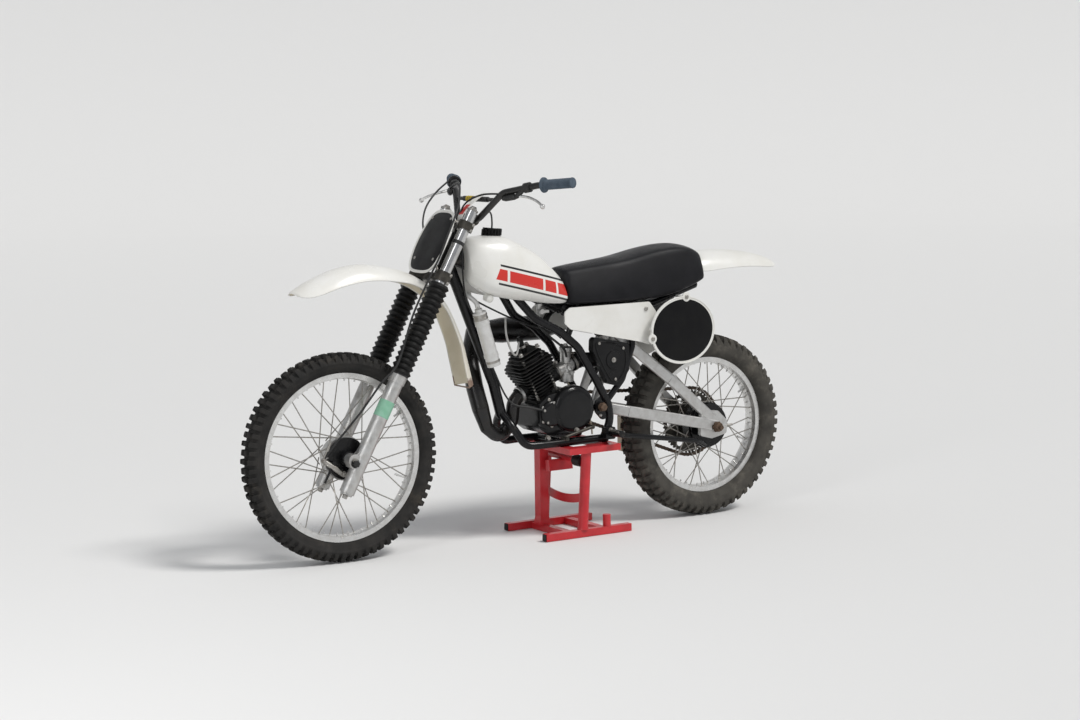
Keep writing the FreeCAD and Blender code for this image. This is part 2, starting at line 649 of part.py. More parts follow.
def build_frame():
    head_low = LOWER_CLAMP + LOWER_CLAMP_DEPTH / 2 + HEAD_CLEARANCE
    head_high = UPPER_CLAMP - UPPER_CLAMP_DEPTH / 2 - HEAD_CLEARANCE
    head = rod(on_fork(head_low), on_fork(head_high), HEAD_TUBE_RADIUS)
    backbone = rod(on_fork(BACKBONE_FRONT), BACKBONE_REAR, BACKBONE_RADIUS)
    bore = rod(on_fork(head_low - 5), on_fork(head_high + 5), STEM_RADIUS + RUNNING_FIT)
    add("frame_backbone", fused([head, backbone]).cut(bore))

    down_end = at(840.0, 0, 438.0)
    bend = at(DOWN_TUBE_X, 0, DOWN_TUBE_Z)
    down = tube([on_fork(head_low + 0.34 * HEAD_TUBE_LENGTH), bend, down_end], DOWN_TUBE_RADIUS, 120.0)
    foot = Part.makeSphere(DOWN_TUBE_RADIUS, down_end)
    down_tube = fused([down, foot]).cut(nodes["frame_backbone"])
    room = rod(on_fork(head_low - 30.0), on_fork(head_low), CLAMP_BOSS_RADIUS + 12.0)
    add("frame_down_tube", largest(down_tube.cut(bore).cut(room)))

    # Columns: x, y, z of the left-hand cradle tube, from the down tube to behind the engine
    cradle = [
        (840.0, 10.0, 438.0),
        (829.0, 50.0, CRADLE_HEIGHT + 72.0),
        (788.0, 76.0, CRADLE_HEIGHT),
        (735.0, CRADLE_HALF_WIDTH, CRADLE_HEIGHT),
        (462.0, CRADLE_HALF_WIDTH, CRADLE_HEIGHT),
    ]
    lower = tube([at(*p) for p in cradle], TUBE_RADIUS, 60.0).cut(nodes["frame_down_tube"])
    halves = both_sides(lower)
    cross = rod(at(640.0, -CRADLE_HALF_WIDTH, CRADLE_HEIGHT), at(640.0, CRADLE_HALF_WIDTH, CRADLE_HEIGHT), 12.0)
    add("frame_cradle", fused([halves.Solids[0], halves.Solids[1], cross]))

    # Columns: x, y, z of the left-hand side tube, from the cradle up to the backbone
    side = [
        (476.0, CRADLE_HALF_WIDTH, CRADLE_HEIGHT),
        (450.0, 91.0, CRADLE_HEIGHT + 60.0),
        (459.0, 93.0, 450.0),
        (514.0, 95.0, 545.0),
        (580.0, 92.0, 655.0),
        (648.0, 86.0, 715.0),
        (740.0, 68.0, 765.0),
        (850.0, 24.0, 905.0),
    ]
    points = [at(*p) for p in side]
    upper = tube(points, TUBE_RADIUS, 90.0)
    upper = upper.cut(nodes["frame_backbone"]).cut(nodes["frame_cradle"])
    upper = max(upper.Solids, key=lambda solid: solid.Volume)
    bracket = plate([(450, 400), (450, 470), (472, 490), (512, 462), (512, 424), (486, 396)], 86.0, 93.0, 10.0)
    boss = ring(PIVOT + ACROSS * 87.0, ACROSS, 20.0, 0.0, 9.0)
    upper = fused([upper, bracket, boss]).cut(ring(PIVOT, ACROSS, PIVOT_BOLT_RADIUS, 0.0, 120.0))
    add("frame_side_tubes", both_sides(upper))
    add("pivot_bolt", pivot_bolt())

    # Columns: x, y, z of the left-hand seat rail and of the stay that props it
    rail = [(622.0, 87.0, 692.0), (580.0, 82.0, 776.0), (250.0, 74.0, 786.0), (66.0, 66.0, 838.0)]
    stay = [(462.0, 91.0, 462.0), (396.0, 88.0, 530.0), (350.0, 84.0, 642.0), (345.0, 76.0, 778.0)]
    shapes = []
    for points, bend in ((rail, 60.0), (stay, 40.0)):
        left = tube([at(*p) for p in points], RAIL_RADIUS, bend)
        shapes += [left, mirrored(left)]
    shapes.append(rod(at(66.0, -66.0, 838.0), at(66.0, 66.0, 838.0), RAIL_RADIUS))
    shapes.append(rod(at(345.0, -75.0, 782.0), at(345.0, 75.0, 782.0), 9.0))
    subframe = fused(shapes).cut(nodes["frame_side_tubes"])
    add("frame_subframe", max(subframe.Solids, key=lambda solid: solid.Volume))


def pivot_bolt():
    shank = rod(PIVOT - ACROSS * 104.0, PIVOT + ACROSS * 104.0, PIVOT_BOLT_RADIUS)
    heads = [ring(PIVOT + ACROSS * (side * 101.0), ACROSS, 14.0, 0.0, 4.8) for side in (-1, 1)]
    return fused([shank] + heads)


def build_engine():
    cases = plate(
        [(732, 385), (732, 462), (704, 508), (600, 512), (540, 492), (524, 440), (530, 384), (560, 362), (700, 362)],
        -CASE_HALF_WIDTH,
        CASE_HALF_WIDTH,
        14.0,
    )
    deck = rod(on_cylinder(30.0), on_cylinder(CYLINDER_BASE), 56.0)
    recess = Part.Face(chain_line(13.5)).extrude(ACROSS * -40.0)
    recess.translate(ACROSS * (CHAIN_Y + 14.0))
    above_deck = slab(on_cylinder(CYLINDER_BASE + 60.0), (200.0, 2 * CASE_HALF_WIDTH, 120.0), LEAN_FORWARD)
    block = fused([cases.cut(above_deck), deck]).cut(recess)

    y = CASE_HALF_WIDTH
    clutch = dome(at(CLUTCH_X, y, CLUTCH_Z), CLUTCH_COVER_RADIUS, CLUTCH_COVER_DEPTH)
    primary = dome(at(688.0, y, 436.0), 46.0, 24.0)
    base = plate([(738, 395), (738, 470), (700, 500), (600, 505), (600, 372), (700, 378)], y, y + 12.0, 18.0)
    left = fused([clutch, primary, base])
    magneto = mirrored(dome(at(CRANK_X + 14.0, y, CRANK_Z), 60.0, 28.0))
    add("engine_covers", Part.makeCompound([left, magneto]))

    head_low = CYLINDER_BASE + CYLINDER_HEIGHT
    cylinder = [rod(on_cylinder(CYLINDER_BASE), on_cylinder(head_low), BARREL_RADIUS)]
    cylinder.append(slab(on_cylinder(CYLINDER_BASE + 5.0), (104.0, 104.0, 10.0), LEAN_FORWARD, 14.0))
    for i in range(CYLINDER_FINS):
        grow = 0.66 + 0.34 * i / (CYLINDER_FINS - 1)
        height = CYLINDER_BASE + 20.0 + i * FIN_PITCH
        size = (FIN_LENGTH * grow, FIN_WIDTH * grow, FIN_THICKNESS)
        cylinder.append(slab(on_cylinder(height, 4.0), size, LEAN_FORWARD, 16.0))
    port = rod(on_cylinder(PORT_HEIGHT + 14.0, 30.0), on_cylinder(PORT_HEIGHT, PORT_REACH), 26.0)
    intake = rod(on_cylinder(CYLINDER_BASE + 50.0, -30.0), on_cylinder(CYLINDER_BASE + 50.0, -74.0), 30.0)
    add("cylinder", fused(cylinder + [port, intake]))
    add("engine_cases", block.cut(nodes["cylinder"]))

    head = [rod(on_cylinder(head_low), on_cylinder(head_low + 22.0), 50.0)]
    head.append(rod(on_cylinder(head_low + 22.0), on_cylinder(head_low + 48.0), 26.0))
    for i in range(HEAD_FINS):
        shrink = 1.0 - 0.1 * i
        size = (FIN_LENGTH * shrink, FIN_WIDTH * shrink, FIN_THICKNESS)
        head.append(slab(on_cylinder(head_low + 2.0 + i * 11.0, 2.0), size, LEAN_FORWARD, 16.0))
    add("cylinder_head", fused(head))
    plug = [
        rod(on_cylinder(head_low + 48.0), on_cylinder(head_low + 60.0), 10.0),
        rod(on_cylinder(head_low + 60.0), on_cylinder(head_low + 92.0), 9.0),
    ]
    add("spark_plug", fused(plug))

    carb_in = on_cylinder(CYLINDER_BASE + 50.0, -74.0)
    carb_out = at(522.0, 0, 600.0)
    middle = carb_in + (carb_out - carb_in) * 0.5
    body = [
        rod(carb_in, carb_in + (carb_out - carb_in) * 0.72, 23.0),
        rod(middle - UP * 52.0, middle + UP * 8.0, 26.0),
        rod(middle, middle + UP * 62.0, 19.0),
    ]
    add("carburettor", fused(body).cut(nodes["cylinder"]))
    boot = rod(carb_in + (carb_out - carb_in) * 0.72, carb_out, 29.0)
    outline = [(522, 688), (372, 656), (374, 562), (416, 508), (462, 520), (524, 640)]
    airbox = plate(outline, 71.0, 100.0, 14.0).cut(ring(at(438.0, 101.0, 602.0), ACROSS, 22.0, 7.0, 8.0))
    airbox = airbox.cut(nodes["frame_subframe"]).cut(nodes["frame_side_tubes"])
    neck = rod(carb_out, at(478.0, 74.0, 604.0), 26.0).fuse(Part.makeSphere(29.0, carb_out))
    add("airbox", fused([largest(airbox), neck, boot]).cut(nodes["carburettor"]))


def dome(centre, radius, depth):
    """A round engine cover with a rounded rim, standing out to the left."""
    cover = rod(centre, centre + ACROSS * depth, radius)
    rims = [e for e in cover.Edges if e.Curve.TypeId == "Part::GeomCircle" and e.CenterOfMass.y > centre.y + depth / 2]
    return cover.makeFillet(min(depth * 0.55, radius * 0.4), rims)


def build_exhaust():
    # Columns: x, y, z of the narrow header past the cylinder's port, down, forward and up
    header = [(797.0, 0.0, 408.0), (845.0, -2.0, 354.0), (896.0, -5.0, 396.0)]
    points = [on_cylinder(PORT_HEIGHT, PORT_REACH), on_cylinder(PORT_HEIGHT - 12.0, PORT_REACH + 30.0)]
    points += [at(*p) for p in header]
    # Columns: x, y, z of the wider pipe that rises past the down tube to the right
    riser = [(914.0, -12.0, 462.0), (920.0, -38.0, 532.0), (908.0, -84.0, 606.0)]
    riser += [(880.0, -122.0, 662.0), (850.0, -153.0, 706.0)]
    wide = [at(*p) for p in riser]
    shapes = [tube(points, 23.5, 46.0), Part.makeSphere(23.5, points[-1])]
    flare = wide[0] - points[-1]
    shapes.append(Part.makeCone(23.5, 30.0, flare.Length, points[-1], flare))
    shapes.append(Part.makeSphere(30.0, wide[0]))
    shapes.append(tube(wide, 30.0, 60.0))
    # Columns: distance along the chamber and its radius there
    stations = [(0.0, 30.0), (110.0, 44.0), (270.0, 44.0), (370.0, 18.0)]
    start = wide[-1]
    end = at(480.0, -153.0, 704.0)
    along = direction(start, end)
    shapes.append(Part.makeSphere(30.0, start))
    for (near, near_radius), (far, far_radius) in zip(stations, stations[1:]):
        place = start + along * near
        if near_radius == far_radius:
            shapes.append(Part.makeCylinder(near_radius, far - near, place, along))
        else:
            shapes.append(Part.makeCone(near_radius, far_radius, far - near, place, along))
    can_start = at(322.0, -101.0, 722.0)
    can_end = at(80.0, -99.0, 762.0)
    tail = start + along * stations[-1][0]
    shapes.append(tube([tail - along * 5.0, tail + along * 30.0, at(364.0, -122.0, 714.0), can_start], 17.0, 60.0))
    way = direction(can_start, can_end)
    add("silencer", fused([rod(can_start, can_end, 31.0), rod(can_end, can_end + way * 36.0, 14.0, 10.0)]))
    add("exhaust_pipe", fused(shapes).cut(nodes["cylinder"]).cut(nodes["silencer"]))


def build_tank():
    # Columns: x, lowest z, highest z, half width at the bottom, half width at the shoulder
    stations = [
        (990.0, 902.0, 1044.0, 56.0, 48.0),
        (930.0, 862.0, 1052.0, 104.0, 82.0),
        (840.0, 838.0, 1050.0, 118.0, 98.0),
        (720.0, 818.0, 992.0, 116.0, 92.0),
        (628.0, 812.0, 908.0, 96.0, 74.0),
    ]
    wires = []
    for x, low, high, bottom, shoulder in stations:
        height = high - low
        outline = [
            (bottom * 0.82, low),
            (bottom, low + height * 0.26),
            (shoulder, low + height * 0.84),
            (shoulder * 0.5, high),
        ]
        outline += [(-y, z) for y, z in reversed(outline)]
        points = [at(x, y, z) for y, z in outline]
        wires.append(path(points, 24.0, closed=True))
    tank = Part.makeLoft(wires, True, True)
    room = BACKBONE_RADIUS + TANK_GAP
    front = on_fork(BACKBONE_FRONT)
    along = direction(front, BACKBONE_REAR)
    tunnel = [rod(front - along * 60.0, BACKBONE_REAR + along * 60.0, room)]
    tunnel.append(rod(on_fork(LOWER_CLAMP - 60.0), on_fork(UPPER_CLAMP + 60.0), HEAD_TUBE_RADIUS + 20.0))
    corners = [front - along * 60.0, BACKBONE_REAR + along * 60.0, BACKBONE_REAR - UP * 200.0, front - UP * 400.0]
    skirt = Part.Face(Part.makePolygon(corners + corners[:1])).extrude(ACROSS * (2 * room))
    skirt.translate(ACROSS * -room)
    tank = tank.cut(fused(tunnel + [skirt]))
    tank = tank.cut(nodes["frame_side_tubes"])
    add("fuel_tank", max(tank.Solids, key=lambda solid: solid.Volume))
    cap_base = at(872.0, 0, 1040.0)
    cap = rod(cap_base, cap_base + Vector(-0.12, 0, 1.0) * 38.0, 28.0)
    add("filler_cap", cap.cut(nodes["fuel_tank"]))


def build_seat():
    # Columns: x, lowest z, highest z, half width at the bottom, half width at the top
    stations = [
        (618.0, 800.0, 925.0, 88.0, 60.0),
        (520.0, 800.0, 938.0, 104.0, 76.0),
        (360.0, 800.0, 955.0, 110.0, 84.0),
        (240.0, 804.0, 980.0, 110.0, 84.0),
        (130.0, 826.0, 990.0, 106.0, 82.0),
        (34.0, 862.0, 952.0, 92.0, 70.0),
    ]
    wires = []
    for x, low, high, bottom, top in stations:
        outline = [(bottom, low), (bottom, low + 30.0), (top, high), (-top, high), (-bottom, low + 30.0), (-bottom, low)]
        wires.append(path([at(x, y, z) for y, z in outline], 16.0, closed=True))
    seat = Part.makeLoft(wires, True, True)
    along = direction(SHOCK_EYE, BACKBONE_REAR)
    shock_room = rod(SHOCK_EYE, BACKBONE_REAR + along * 60.0, 40.0)
    seat = seat.cut(nodes["fuel_tank"]).cut(nodes["frame_subframe"]).cut(shock_room)
    add("seat", largest(seat.cut(nodes["frame_side_tubes"])))


def build_bodywork():
    # Columns: x, z, half width and edge drop of the rear fender's sections, from under the seat to the tip
    sections = [
        (150.0, 900.0, 70.0, 26.0),
        (20.0, 952.0, 84.0, 66.0),
        (-100.0, 950.0, 82.0, 52.0),
        (-210.0, 934.0, 70.0, 34.0),
        (-308.0, 902.0, 40.0, 12.0),
    ]
    fender = shell_along(sections, 3.0)
    add("rear_fender", largest(fender.cut(nodes["seat"]).cut(nodes["frame_subframe"])))
    y = 101.0
    outline = [(618, 722), (642, 744), (642, 782), (620, 797), (290, 796), (262, 760), (272, 640), (330, 658)]
    panel = plate(outline, y, y + 6.0, 10.0)
    panel = panel.cut(nodes["frame_subframe"])
    room = rod(at(400.0, -101.0, 709.0), at(240.0, -101.0, 735.5), 38.0)
    far_panel = mirrored(panel).cut(room).cut(nodes["exhaust_pipe"])
    add("side_panels", Part.makeCompound([largest(panel), largest(far_panel)]))
    centre = at(170.0, 134.0, 690.0)
    oval = Part.Face(Part.Wire([Part.Ellipse(centre, 137.0, 119.0).toShape()]))
    oval.rotate(centre, Vector(1, 0, 0), 90)
    disc = oval.extrude(ACROSS * 5.0)
    ear = rod(at(155.0, 74.0, 806.0), at(155.0, 139.0, 802.0), 5.0)
    front_ear = rod(at(286.0, y + 6.0, 700.0), at(286.0, 139.0, 700.0), 6.0)
    plate_set = fused([disc, ear, front_ear]).cut(nodes["frame_subframe"])
    far_set = mirrored(fused([disc, ear])).cut(nodes["frame_subframe"])
    add("side_number_plates", Part.makeCompound([largest(plate_set), largest(far_set)]))


def build_swingarm():
    y = 92.0
    beams = []
    beams.append(beam(at(PIVOT_X, 58.0, PIVOT_Z - 2.0), at(425.0, 62.0, 427.0), 36.0, 26.0))
    beams.append(beam(at(430.0, 61.0, 428.0), at(372.0, y, 415.0), 38.0, 26.0))
    beams.append(beam(at(378.0, y, 416.0), at(-4.0, y, REAR_TYRE_RADIUS + 3.0), 40.0, 26.0))
    beams.append(beam(at(394.0, 40.0, 690.0), at(188.0, y, 508.0), 38.0, 22.0))
    beams.append(beam(at(196.0, y, 515.0), at(10.0, y, 352.0), 38.0, 22.0))
    beams.append(beam(at(394.0, 40.0, 690.0), at(PIVOT_X, 45.0, PIVOT_Z), 30.0, 16.0))
    dropout = plate([(64, 392), (70, 300), (20, 286), (-46, 300), (-46, 348), (-8, 384)], y - 8.0, y + 8.0, 12.0)
    slot = plate([(22, 318), (22, 336), (-22, 336), (-22, 318)], y - 20.0, y + 20.0)
    pivot = rod(PIVOT, PIVOT + ACROSS * 77.5, PIVOT_TUBE_RADIUS)
    apex = rod(SHOCK_EYE, SHOCK_EYE + ACROSS * 54.0, 17.0)
    left = fused(beams + [dropout, pivot, apex]).cut(slot)
    left = left.cut(rod(REAR_AXLE + ACROSS * 60, REAR_AXLE + ACROSS * 130, AXLE_RADIUS))
    arm = fused([left, mirrored(left)])
    arm = arm.cut(rod(PIVOT - ACROSS * 90, PIVOT + ACROSS * 90, PIVOT_BOLT_RADIUS))
    add("swingarm", arm)
    nut = ring(REAR_AXLE + ACROSS * (y + 19.0), ACROSS, 17.0, 0.0, 6.0)
    shank = rod(REAR_AXLE - ACROSS * (y + 28.0), REAR_AXLE + ACROSS * (y + 28.0), AXLE_RADIUS)
    far_nut = ring(REAR_AXLE - ACROSS * (y + 19.0), ACROSS, 17.0, 0.0, 6.0)
    spacer = rod(REAR_AXLE - ACROSS * (y - 13.0), REAR_AXLE - ACROSS * 74.0, 14.0)
    add("rear_axle", fused([shank, nut, far_nut, spacer]))


def beam(start, end, height, width):
    """A rectangular box beam between two points, upright in its cross section."""
    along = direction(start, end)
    side = UP.cross(along)
    side = side / side.Length
    rise = along.cross(side)
    corners = []
    for across, up in ((1, 1), (-1, 1), (-1, -1), (1, -1)):
        corners.append(start + side * (across * width / 2) + rise * (up * height / 2))
    return Part.Face(path(corners, 6.0, closed=True)).extrude(end - start)


def build_suspension():
    eye = SHOCK_EYE
    front = BACKBONE_REAR
    along = direction(eye, front)
    body = rod(eye + along * 17.0, front, 17.0)
    length = (front - eye).Length - 48.0
    coils = 9
    outline = [(0.0, 16.0), (0.0, 25.0)]
    for i in range(coils):
        outline.append(((i + 0.5) * length / coils, 31.0))
        outline.append(((i + 1) * length / coils, 25.0))
    outline.append((length, 16.0))
    coil = revolve(outline, eye + along * 38.0, along, ACROSS)
    pieces = [body, rod(eye + along * 30.0, eye + along * 38.5, 34.0), coil]
    add("shock_absorber", fused(pieces).cut(nodes["swingarm"]).cut(nodes["frame_backbone"]))
    build_reservoir()


def build_reservoir():
    """The shock's separate canister, clipped beside the down tube, with its hose up the tube."""
    low = at(897.0, 54.0, 615.0)
    high = at(951.0, 52.0, 800.0)
    way = direction(low, high)
    shapes = [rod(low, high, 23.5), rod(high, high + way * 12.0, 13.0)]
    for share in (0.2, 0.8):
        band = low + (high - low) * share
        shapes.append(ring(band, way, 25.5, 0.0, 6.0))
        shapes.append(rod(band, at(DOWN_TUBE_X + DOWN_TUBE_SLOPE * (band.z - DOWN_TUBE_Z), 0, band.z), 7.0))
    clip = high.z + 62.0
    hose = [high + way * 8.0, high + way * 36.0, at(DOWN_TUBE_X + DOWN_TUBE_SLOPE * (clip - DOWN_TUBE_Z), 24.0, clip)]
    shapes.append(tube(hose, 8.0, 24.0))
    add("reservoir", fused(shapes).cut(nodes["frame_down_tube"]))


def chain_line(grow):
    """The closed line of the chain's run round both sprockets, moved outwards by the given amount."""
    rear = CHAIN_PITCH / 2 / math.sin(math.pi / REAR_TEETH)
    small = CHAIN_PITCH / 2 / math.sin(math.pi / FRONT_TEETH)
    return belt(at(0, 0, REAR_TYRE_RADIUS), rear + grow, at(FRONT_SPROCKET_X, 0, FRONT_SPROCKET_Z), small + grow)


def chain_band(low, high, half_width):
    """A solid band that follows the chain between two offsets from its pitch line."""
    band = Part.Face(chain_line(high)).extrude(ACROSS * (2 * half_width))
    hole = Part.Face(chain_line(low)).extrude(ACROSS * (2 * half_width))
    band = band.cut(hole)
    band.translate(ACROSS * (CHAIN_Y - half_width))
    return band


def chain_loop():
    """Links between pins one pitch apart round the loop, wide and narrow in turn."""
    line = chain_line(0.0)
    links = 2 * round(line.Length / CHAIN_PITCH / 2)
    pins = line.discretize(Number=links + 1)[:-1]
    inner = []
    outer = []
    for i in range(links):
        run = pins[(i + 1) % links] - pins[i - 1]
        out = run.cross(ACROSS) / run.Length
        if out.dot(pins[i] - at(FRONT_SPROCKET_X / 2, 0, FRONT_SPROCKET_Z - 60.0)) < 0:
            out = out * -1.0
        centre = pins[i] + ACROSS * CHAIN_Y
        inner.append(centre - out * CHAIN_INNER)
        outer.append(centre + out * CHAIN_OUTER)
    wide = ACROSS * OUTER_PLATE_Y
    narrow = ACROSS * INNER_PLATE_Y
    polygons = []
    for i in range(links):
        j = (i + 1) % links
        for edge in (inner, outer):
            if i % 2:
                polygons.append([edge[i] - narrow, edge[i] + narrow, edge[j] + narrow, edge[j] - narrow])
            else:
                here = [edge[i] - wide, edge[i] - narrow, edge[i] + narrow, edge[i] + wide]
                there = [edge[j] + wide, edge[j] + narrow, edge[j] - narrow, edge[j] - wide]
                polygons.append(here + there)
        half = narrow if i % 2 else wide
        for side in (-1, 1):
            polygons.append([point + half * side for point in (inner[i], outer[i], outer[j], inner[j])])
            step = [inner[i] + narrow * side, outer[i] + narrow * side, outer[i] + wide * side, inner[i] + wide * side]
            polygons.append(step)
    return closed_solid(polygons)


def build_chain():
    """The chain as one fixed loop round both sprockets, the small sprocket and the guide under the swingarm."""
    add("chain", chain_loop())
    small = CHAIN_PITCH / 2 / math.sin(math.pi / FRONT_TEETH)
    centre = at(FRONT_SPROCKET_X, CHAIN_Y, FRONT_SPROCKET_Z)
    teeth = toothed(centre, FRONT_TEETH, small - CHAIN_INNER - 1.3, 5.0, 3.5)
    shaft = rod(centre, centre + ACROSS * 30.0, 11.0)
    add("front_sprocket", fused([teeth, shaft]).cut(nodes["engine_cases"]))
    outline = [(300, 245), (300, 378), (236, 364), (232, 300), (232, 245)]
    guide = plate(outline, CHAIN_Y - 20.0, CHAIN_Y + 7.0, 8.0)
    slot = chain_band(-9.0, 11.5, 8.0).fuse(chain_band(-9.0, 11.5, 8.0).translated(ACROSS * 10.0))
    add("chain_guide", largest(guide.cut(slot).cut(nodes["swingarm"])))


def belt(a, radius_a, b, radius_b):
    """A closed loop of two arcs and the two straight runs that touch them."""
    gap = b - a
    base = math.atan2(gap.z, gap.x)
    lift = math.acos((radius_a - radius_b) / gap.Length)
    points = []
    for angle in (base + lift, base - lift):
        way = Vector(math.cos(angle), 0, math.sin(angle))
        points.append((a + way * radius_a, b + way * radius_b))
    back = Vector(-math.cos(base), 0, -math.sin(base))
    edges = [
        Part.LineSegment(points[0][0], points[0][1]).toShape(),
        Part.Arc(points[0][1], b - back * radius_b, points[1][1]).toShape(),
        Part.LineSegment(points[1][1], points[1][0]).toShape(),
        Part.Arc(points[1][0], a + back * radius_a, points[0][0]).toShape(),
    ]
    return Part.Wire(edges)


def build_controls():
    y = CRADLE_HALF_WIDTH
    low = CRADLE_HEIGHT
    peg = rod(at(470.0, y + 40.0, low + 22.0), at(470.0, y + 108.0, low + 26.0), 12.0)
    bracket = plate([(452, low), (452, low + 42), (490, low + 42), (490, low)], y + 12.0, y + 41.0, 6.0)
    foot_piece = fused([peg, bracket]).cut(nodes["frame_side_tubes"]).cut(nodes["frame_cradle"])
    add("footpegs", both_sides(largest(foot_piece)))
    shaft = at(545.0, 0, 380.0)
    lever = fused([
        rod(shaft + ACROSS * CASE_HALF_WIDTH, shaft + ACROSS * 128.0, 7.0),
        rod(shaft + ACROSS * 122.0, at(665.0, 122.0, 352.0), 6.0),
        rod(at(665.0, 116.0, 352.0), at(665.0, 150.0, 352.0), 7.0),
    ])
    add("shift_lever", lever.cut(nodes["engine_covers"]).cut(nodes["engine_cases"]))
    pedal_run = [(528.0, -112.0, low + 12.0), (600.0, -117.0, low + 20.0), (690.0, -119.0, low + 44.0)]
    pedal = tube([at(*p) for p in pedal_run], 6.5, 40.0)
    pivot = rod(at(528.0, -y, low + 8.0), at(528.0, -121.0, low + 12.0), 10.0)
    tread = slab(at(696.0, -128.0, low + 46.0), (34.0, 44.0, 7.0), Vector(1.0, 0, 0.3), 5.0)
    add("brake_pedal", fused([pedal, pivot, tread]).cut(nodes["frame_cradle"]))
    kick = fused([
        rod(at(600.0, -CASE_HALF_WIDTH, 482.0), at(600.0, -116.0, 482.0), 9.0),
        tube([at(600.0, -110.0, 482.0), at(535.0, -126.0, 560.0), at(500.0, -128.0, 640.0)], 8.0, 40.0),
    ])
    add("kick_lever", kick.cut(nodes["engine_cases"]).cut(nodes["frame_side_tubes"]))


def build_rear_brake():
    cover = ring(REAR_AXLE + ACROSS * 53.0, ACROSS, 78.0, AXLE_RADIUS, 3.0)
    boss = ring(REAR_AXLE + ACROSS * 68.5, ACROSS, 24.0, AXLE_RADIUS, 15.5)
    arm = rod(at(42.0, 53.0, 262.0), at(42.0, 68.0, 262.0), 9.0)
    add("rear_brake_plate", fused([cover, boss, arm]).cut(nodes["swingarm"]))
    rod_front = at(430.0, 108.0, CRADLE_HEIGHT + 10.0)
    bar = tube([rod_front, at(80.0, 100.0, 284.0), at(34.0, 76.5, 262.0)], 9.0, 60.0)
    add("brake_torque_arm", bar.cut(nodes["swingarm"]).cut(nodes["frame_side_tubes"]).cut(nodes["rear_brake_plate"]))


def build_stand():
    half = STAND_TUBE / 2
    feet = []
    y = STAND_FOOT_SPREAD / 2
    foot = Part.makeBox(STAND_FOOT_LENGTH, STAND_TUBE, STAND_TUBE, at(STAND_X - STAND_FOOT_LENGTH / 2, y - half, 0))
    feet += [foot, mirrored(foot)]
    for x in (STAND_X + 70.0, STAND_X - 80.0):
        feet.append(Part.makeBox(STAND_TUBE, STAND_FOOT_SPREAD, STAND_TUBE - 4, at(x - half, -y, 0)))
    top = CRADLE_HEIGHT - TUBE_RADIUS
    deck = top - STAND_TOP_DEPTH
    posts = []
    for x, side, radius in ((STAND_X + 16.0, 1, 17.0), (STAND_X + 16.0, -1, 17.0)):
        posts.append(rod(at(x, side * y, STAND_TUBE - 2), at(x - 14.0, side * y, deck + 2.0), radius))
    for side in (-1, 1):
        posts.append(Part.makeBox(36, 36, deck - STAND_TUBE + 4, at(STAND_X + 62.0, side * 62.0 - 18, STAND_TUBE - 4)))
    bar = Part.makeBox(60, 2 * y, 26, at(STAND_X + 40.0, -y, 124.0))
    add("stand_base", fused(feet + posts + [bar]))
    length = STAND_TOP_LENGTH
    width = STAND_TOP_WIDTH
    rails = []
    for side in (-1, 1):
        low = side * (width / 2 - 20.0) - 20.0
        rails.append(Part.makeBox(length, 40.0, STAND_TOP_DEPTH, at(STAND_X - length / 2, low, deck)))
    for x in (STAND_X - length / 2, STAND_X + length / 2 - 40.0):
        rails.append(Part.makeBox(40.0, width, STAND_TOP_DEPTH, at(x, -width / 2, deck)))
    add("stand_platform", fused(rails).cut(nodes["stand_base"]))


def main():
    build_front_wheel()
    build_fork()
    build_clamps()
    build_handlebar()
    build_front_fender()
    build_front_plate()
    build_front_brake()
    build_rear_wheel()
    build_frame()
    build_engine()
    build_exhaust()
    build_tank()
    build_seat()
    build_bodywork()
    build_swingarm()
    build_suspension()
    build_chain()
    build_controls()
    build_rear_brake()
    build_stand()
    os.makedirs("parts", exist_ok=True)
    for name, shape in nodes.items():
        solid = shape.copy()
        if name in steered:
            solid.rotate(STEERING_FOOT, FORK_UP, STEER_AT_REST)
        solid.exportStep(os.path.join("parts", name + ".step"))
    print(len(nodes), "nodes")


main()
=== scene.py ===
import bmesh
import bpy
import math
import random

from mathutils import Matrix, Vector


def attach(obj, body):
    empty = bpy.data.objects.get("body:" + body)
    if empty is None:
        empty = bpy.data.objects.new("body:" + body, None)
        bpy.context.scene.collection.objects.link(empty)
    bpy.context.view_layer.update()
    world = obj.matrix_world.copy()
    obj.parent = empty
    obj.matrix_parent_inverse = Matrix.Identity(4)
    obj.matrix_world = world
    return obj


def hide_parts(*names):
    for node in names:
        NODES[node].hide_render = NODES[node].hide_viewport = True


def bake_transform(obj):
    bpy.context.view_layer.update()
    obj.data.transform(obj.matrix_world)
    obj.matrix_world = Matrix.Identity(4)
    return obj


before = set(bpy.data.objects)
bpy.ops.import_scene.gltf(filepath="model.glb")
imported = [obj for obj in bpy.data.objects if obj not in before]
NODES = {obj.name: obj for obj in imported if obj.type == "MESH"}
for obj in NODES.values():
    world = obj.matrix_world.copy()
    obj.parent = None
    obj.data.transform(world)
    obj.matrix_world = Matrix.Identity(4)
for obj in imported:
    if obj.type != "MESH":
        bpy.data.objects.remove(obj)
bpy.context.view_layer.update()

# Places are given as in part.py: millimetres, x forward from the rear axle, y to the rider's left, z up.
REAR_AXLE_X = -744
FRONT_HUB = (1465, 0, 350)
REAR_HUB = (0, 0, 327)
RAKE = math.radians(29)
STEER_AT_REST = -3
ACROSS = Vector((0, 1, 0))
UP = Vector((0, 0, 1))
FORWARD = Vector((1, 0, 0))
FORK_UP = Vector((-math.sin(RAKE), 0, math.cos(RAKE)))
FORK_FORWARD = Vector((math.cos(RAKE), 0, math.sin(RAKE)))


def at(x, y, z):
    return Vector(((x + REAR_AXLE_X) / 1000, y / 1000, z / 1000))


FORK_OFFSET = 70
STEERING_FOOT = at(*FRONT_HUB) - FORK_FORWARD * (FORK_OFFSET / 1000)
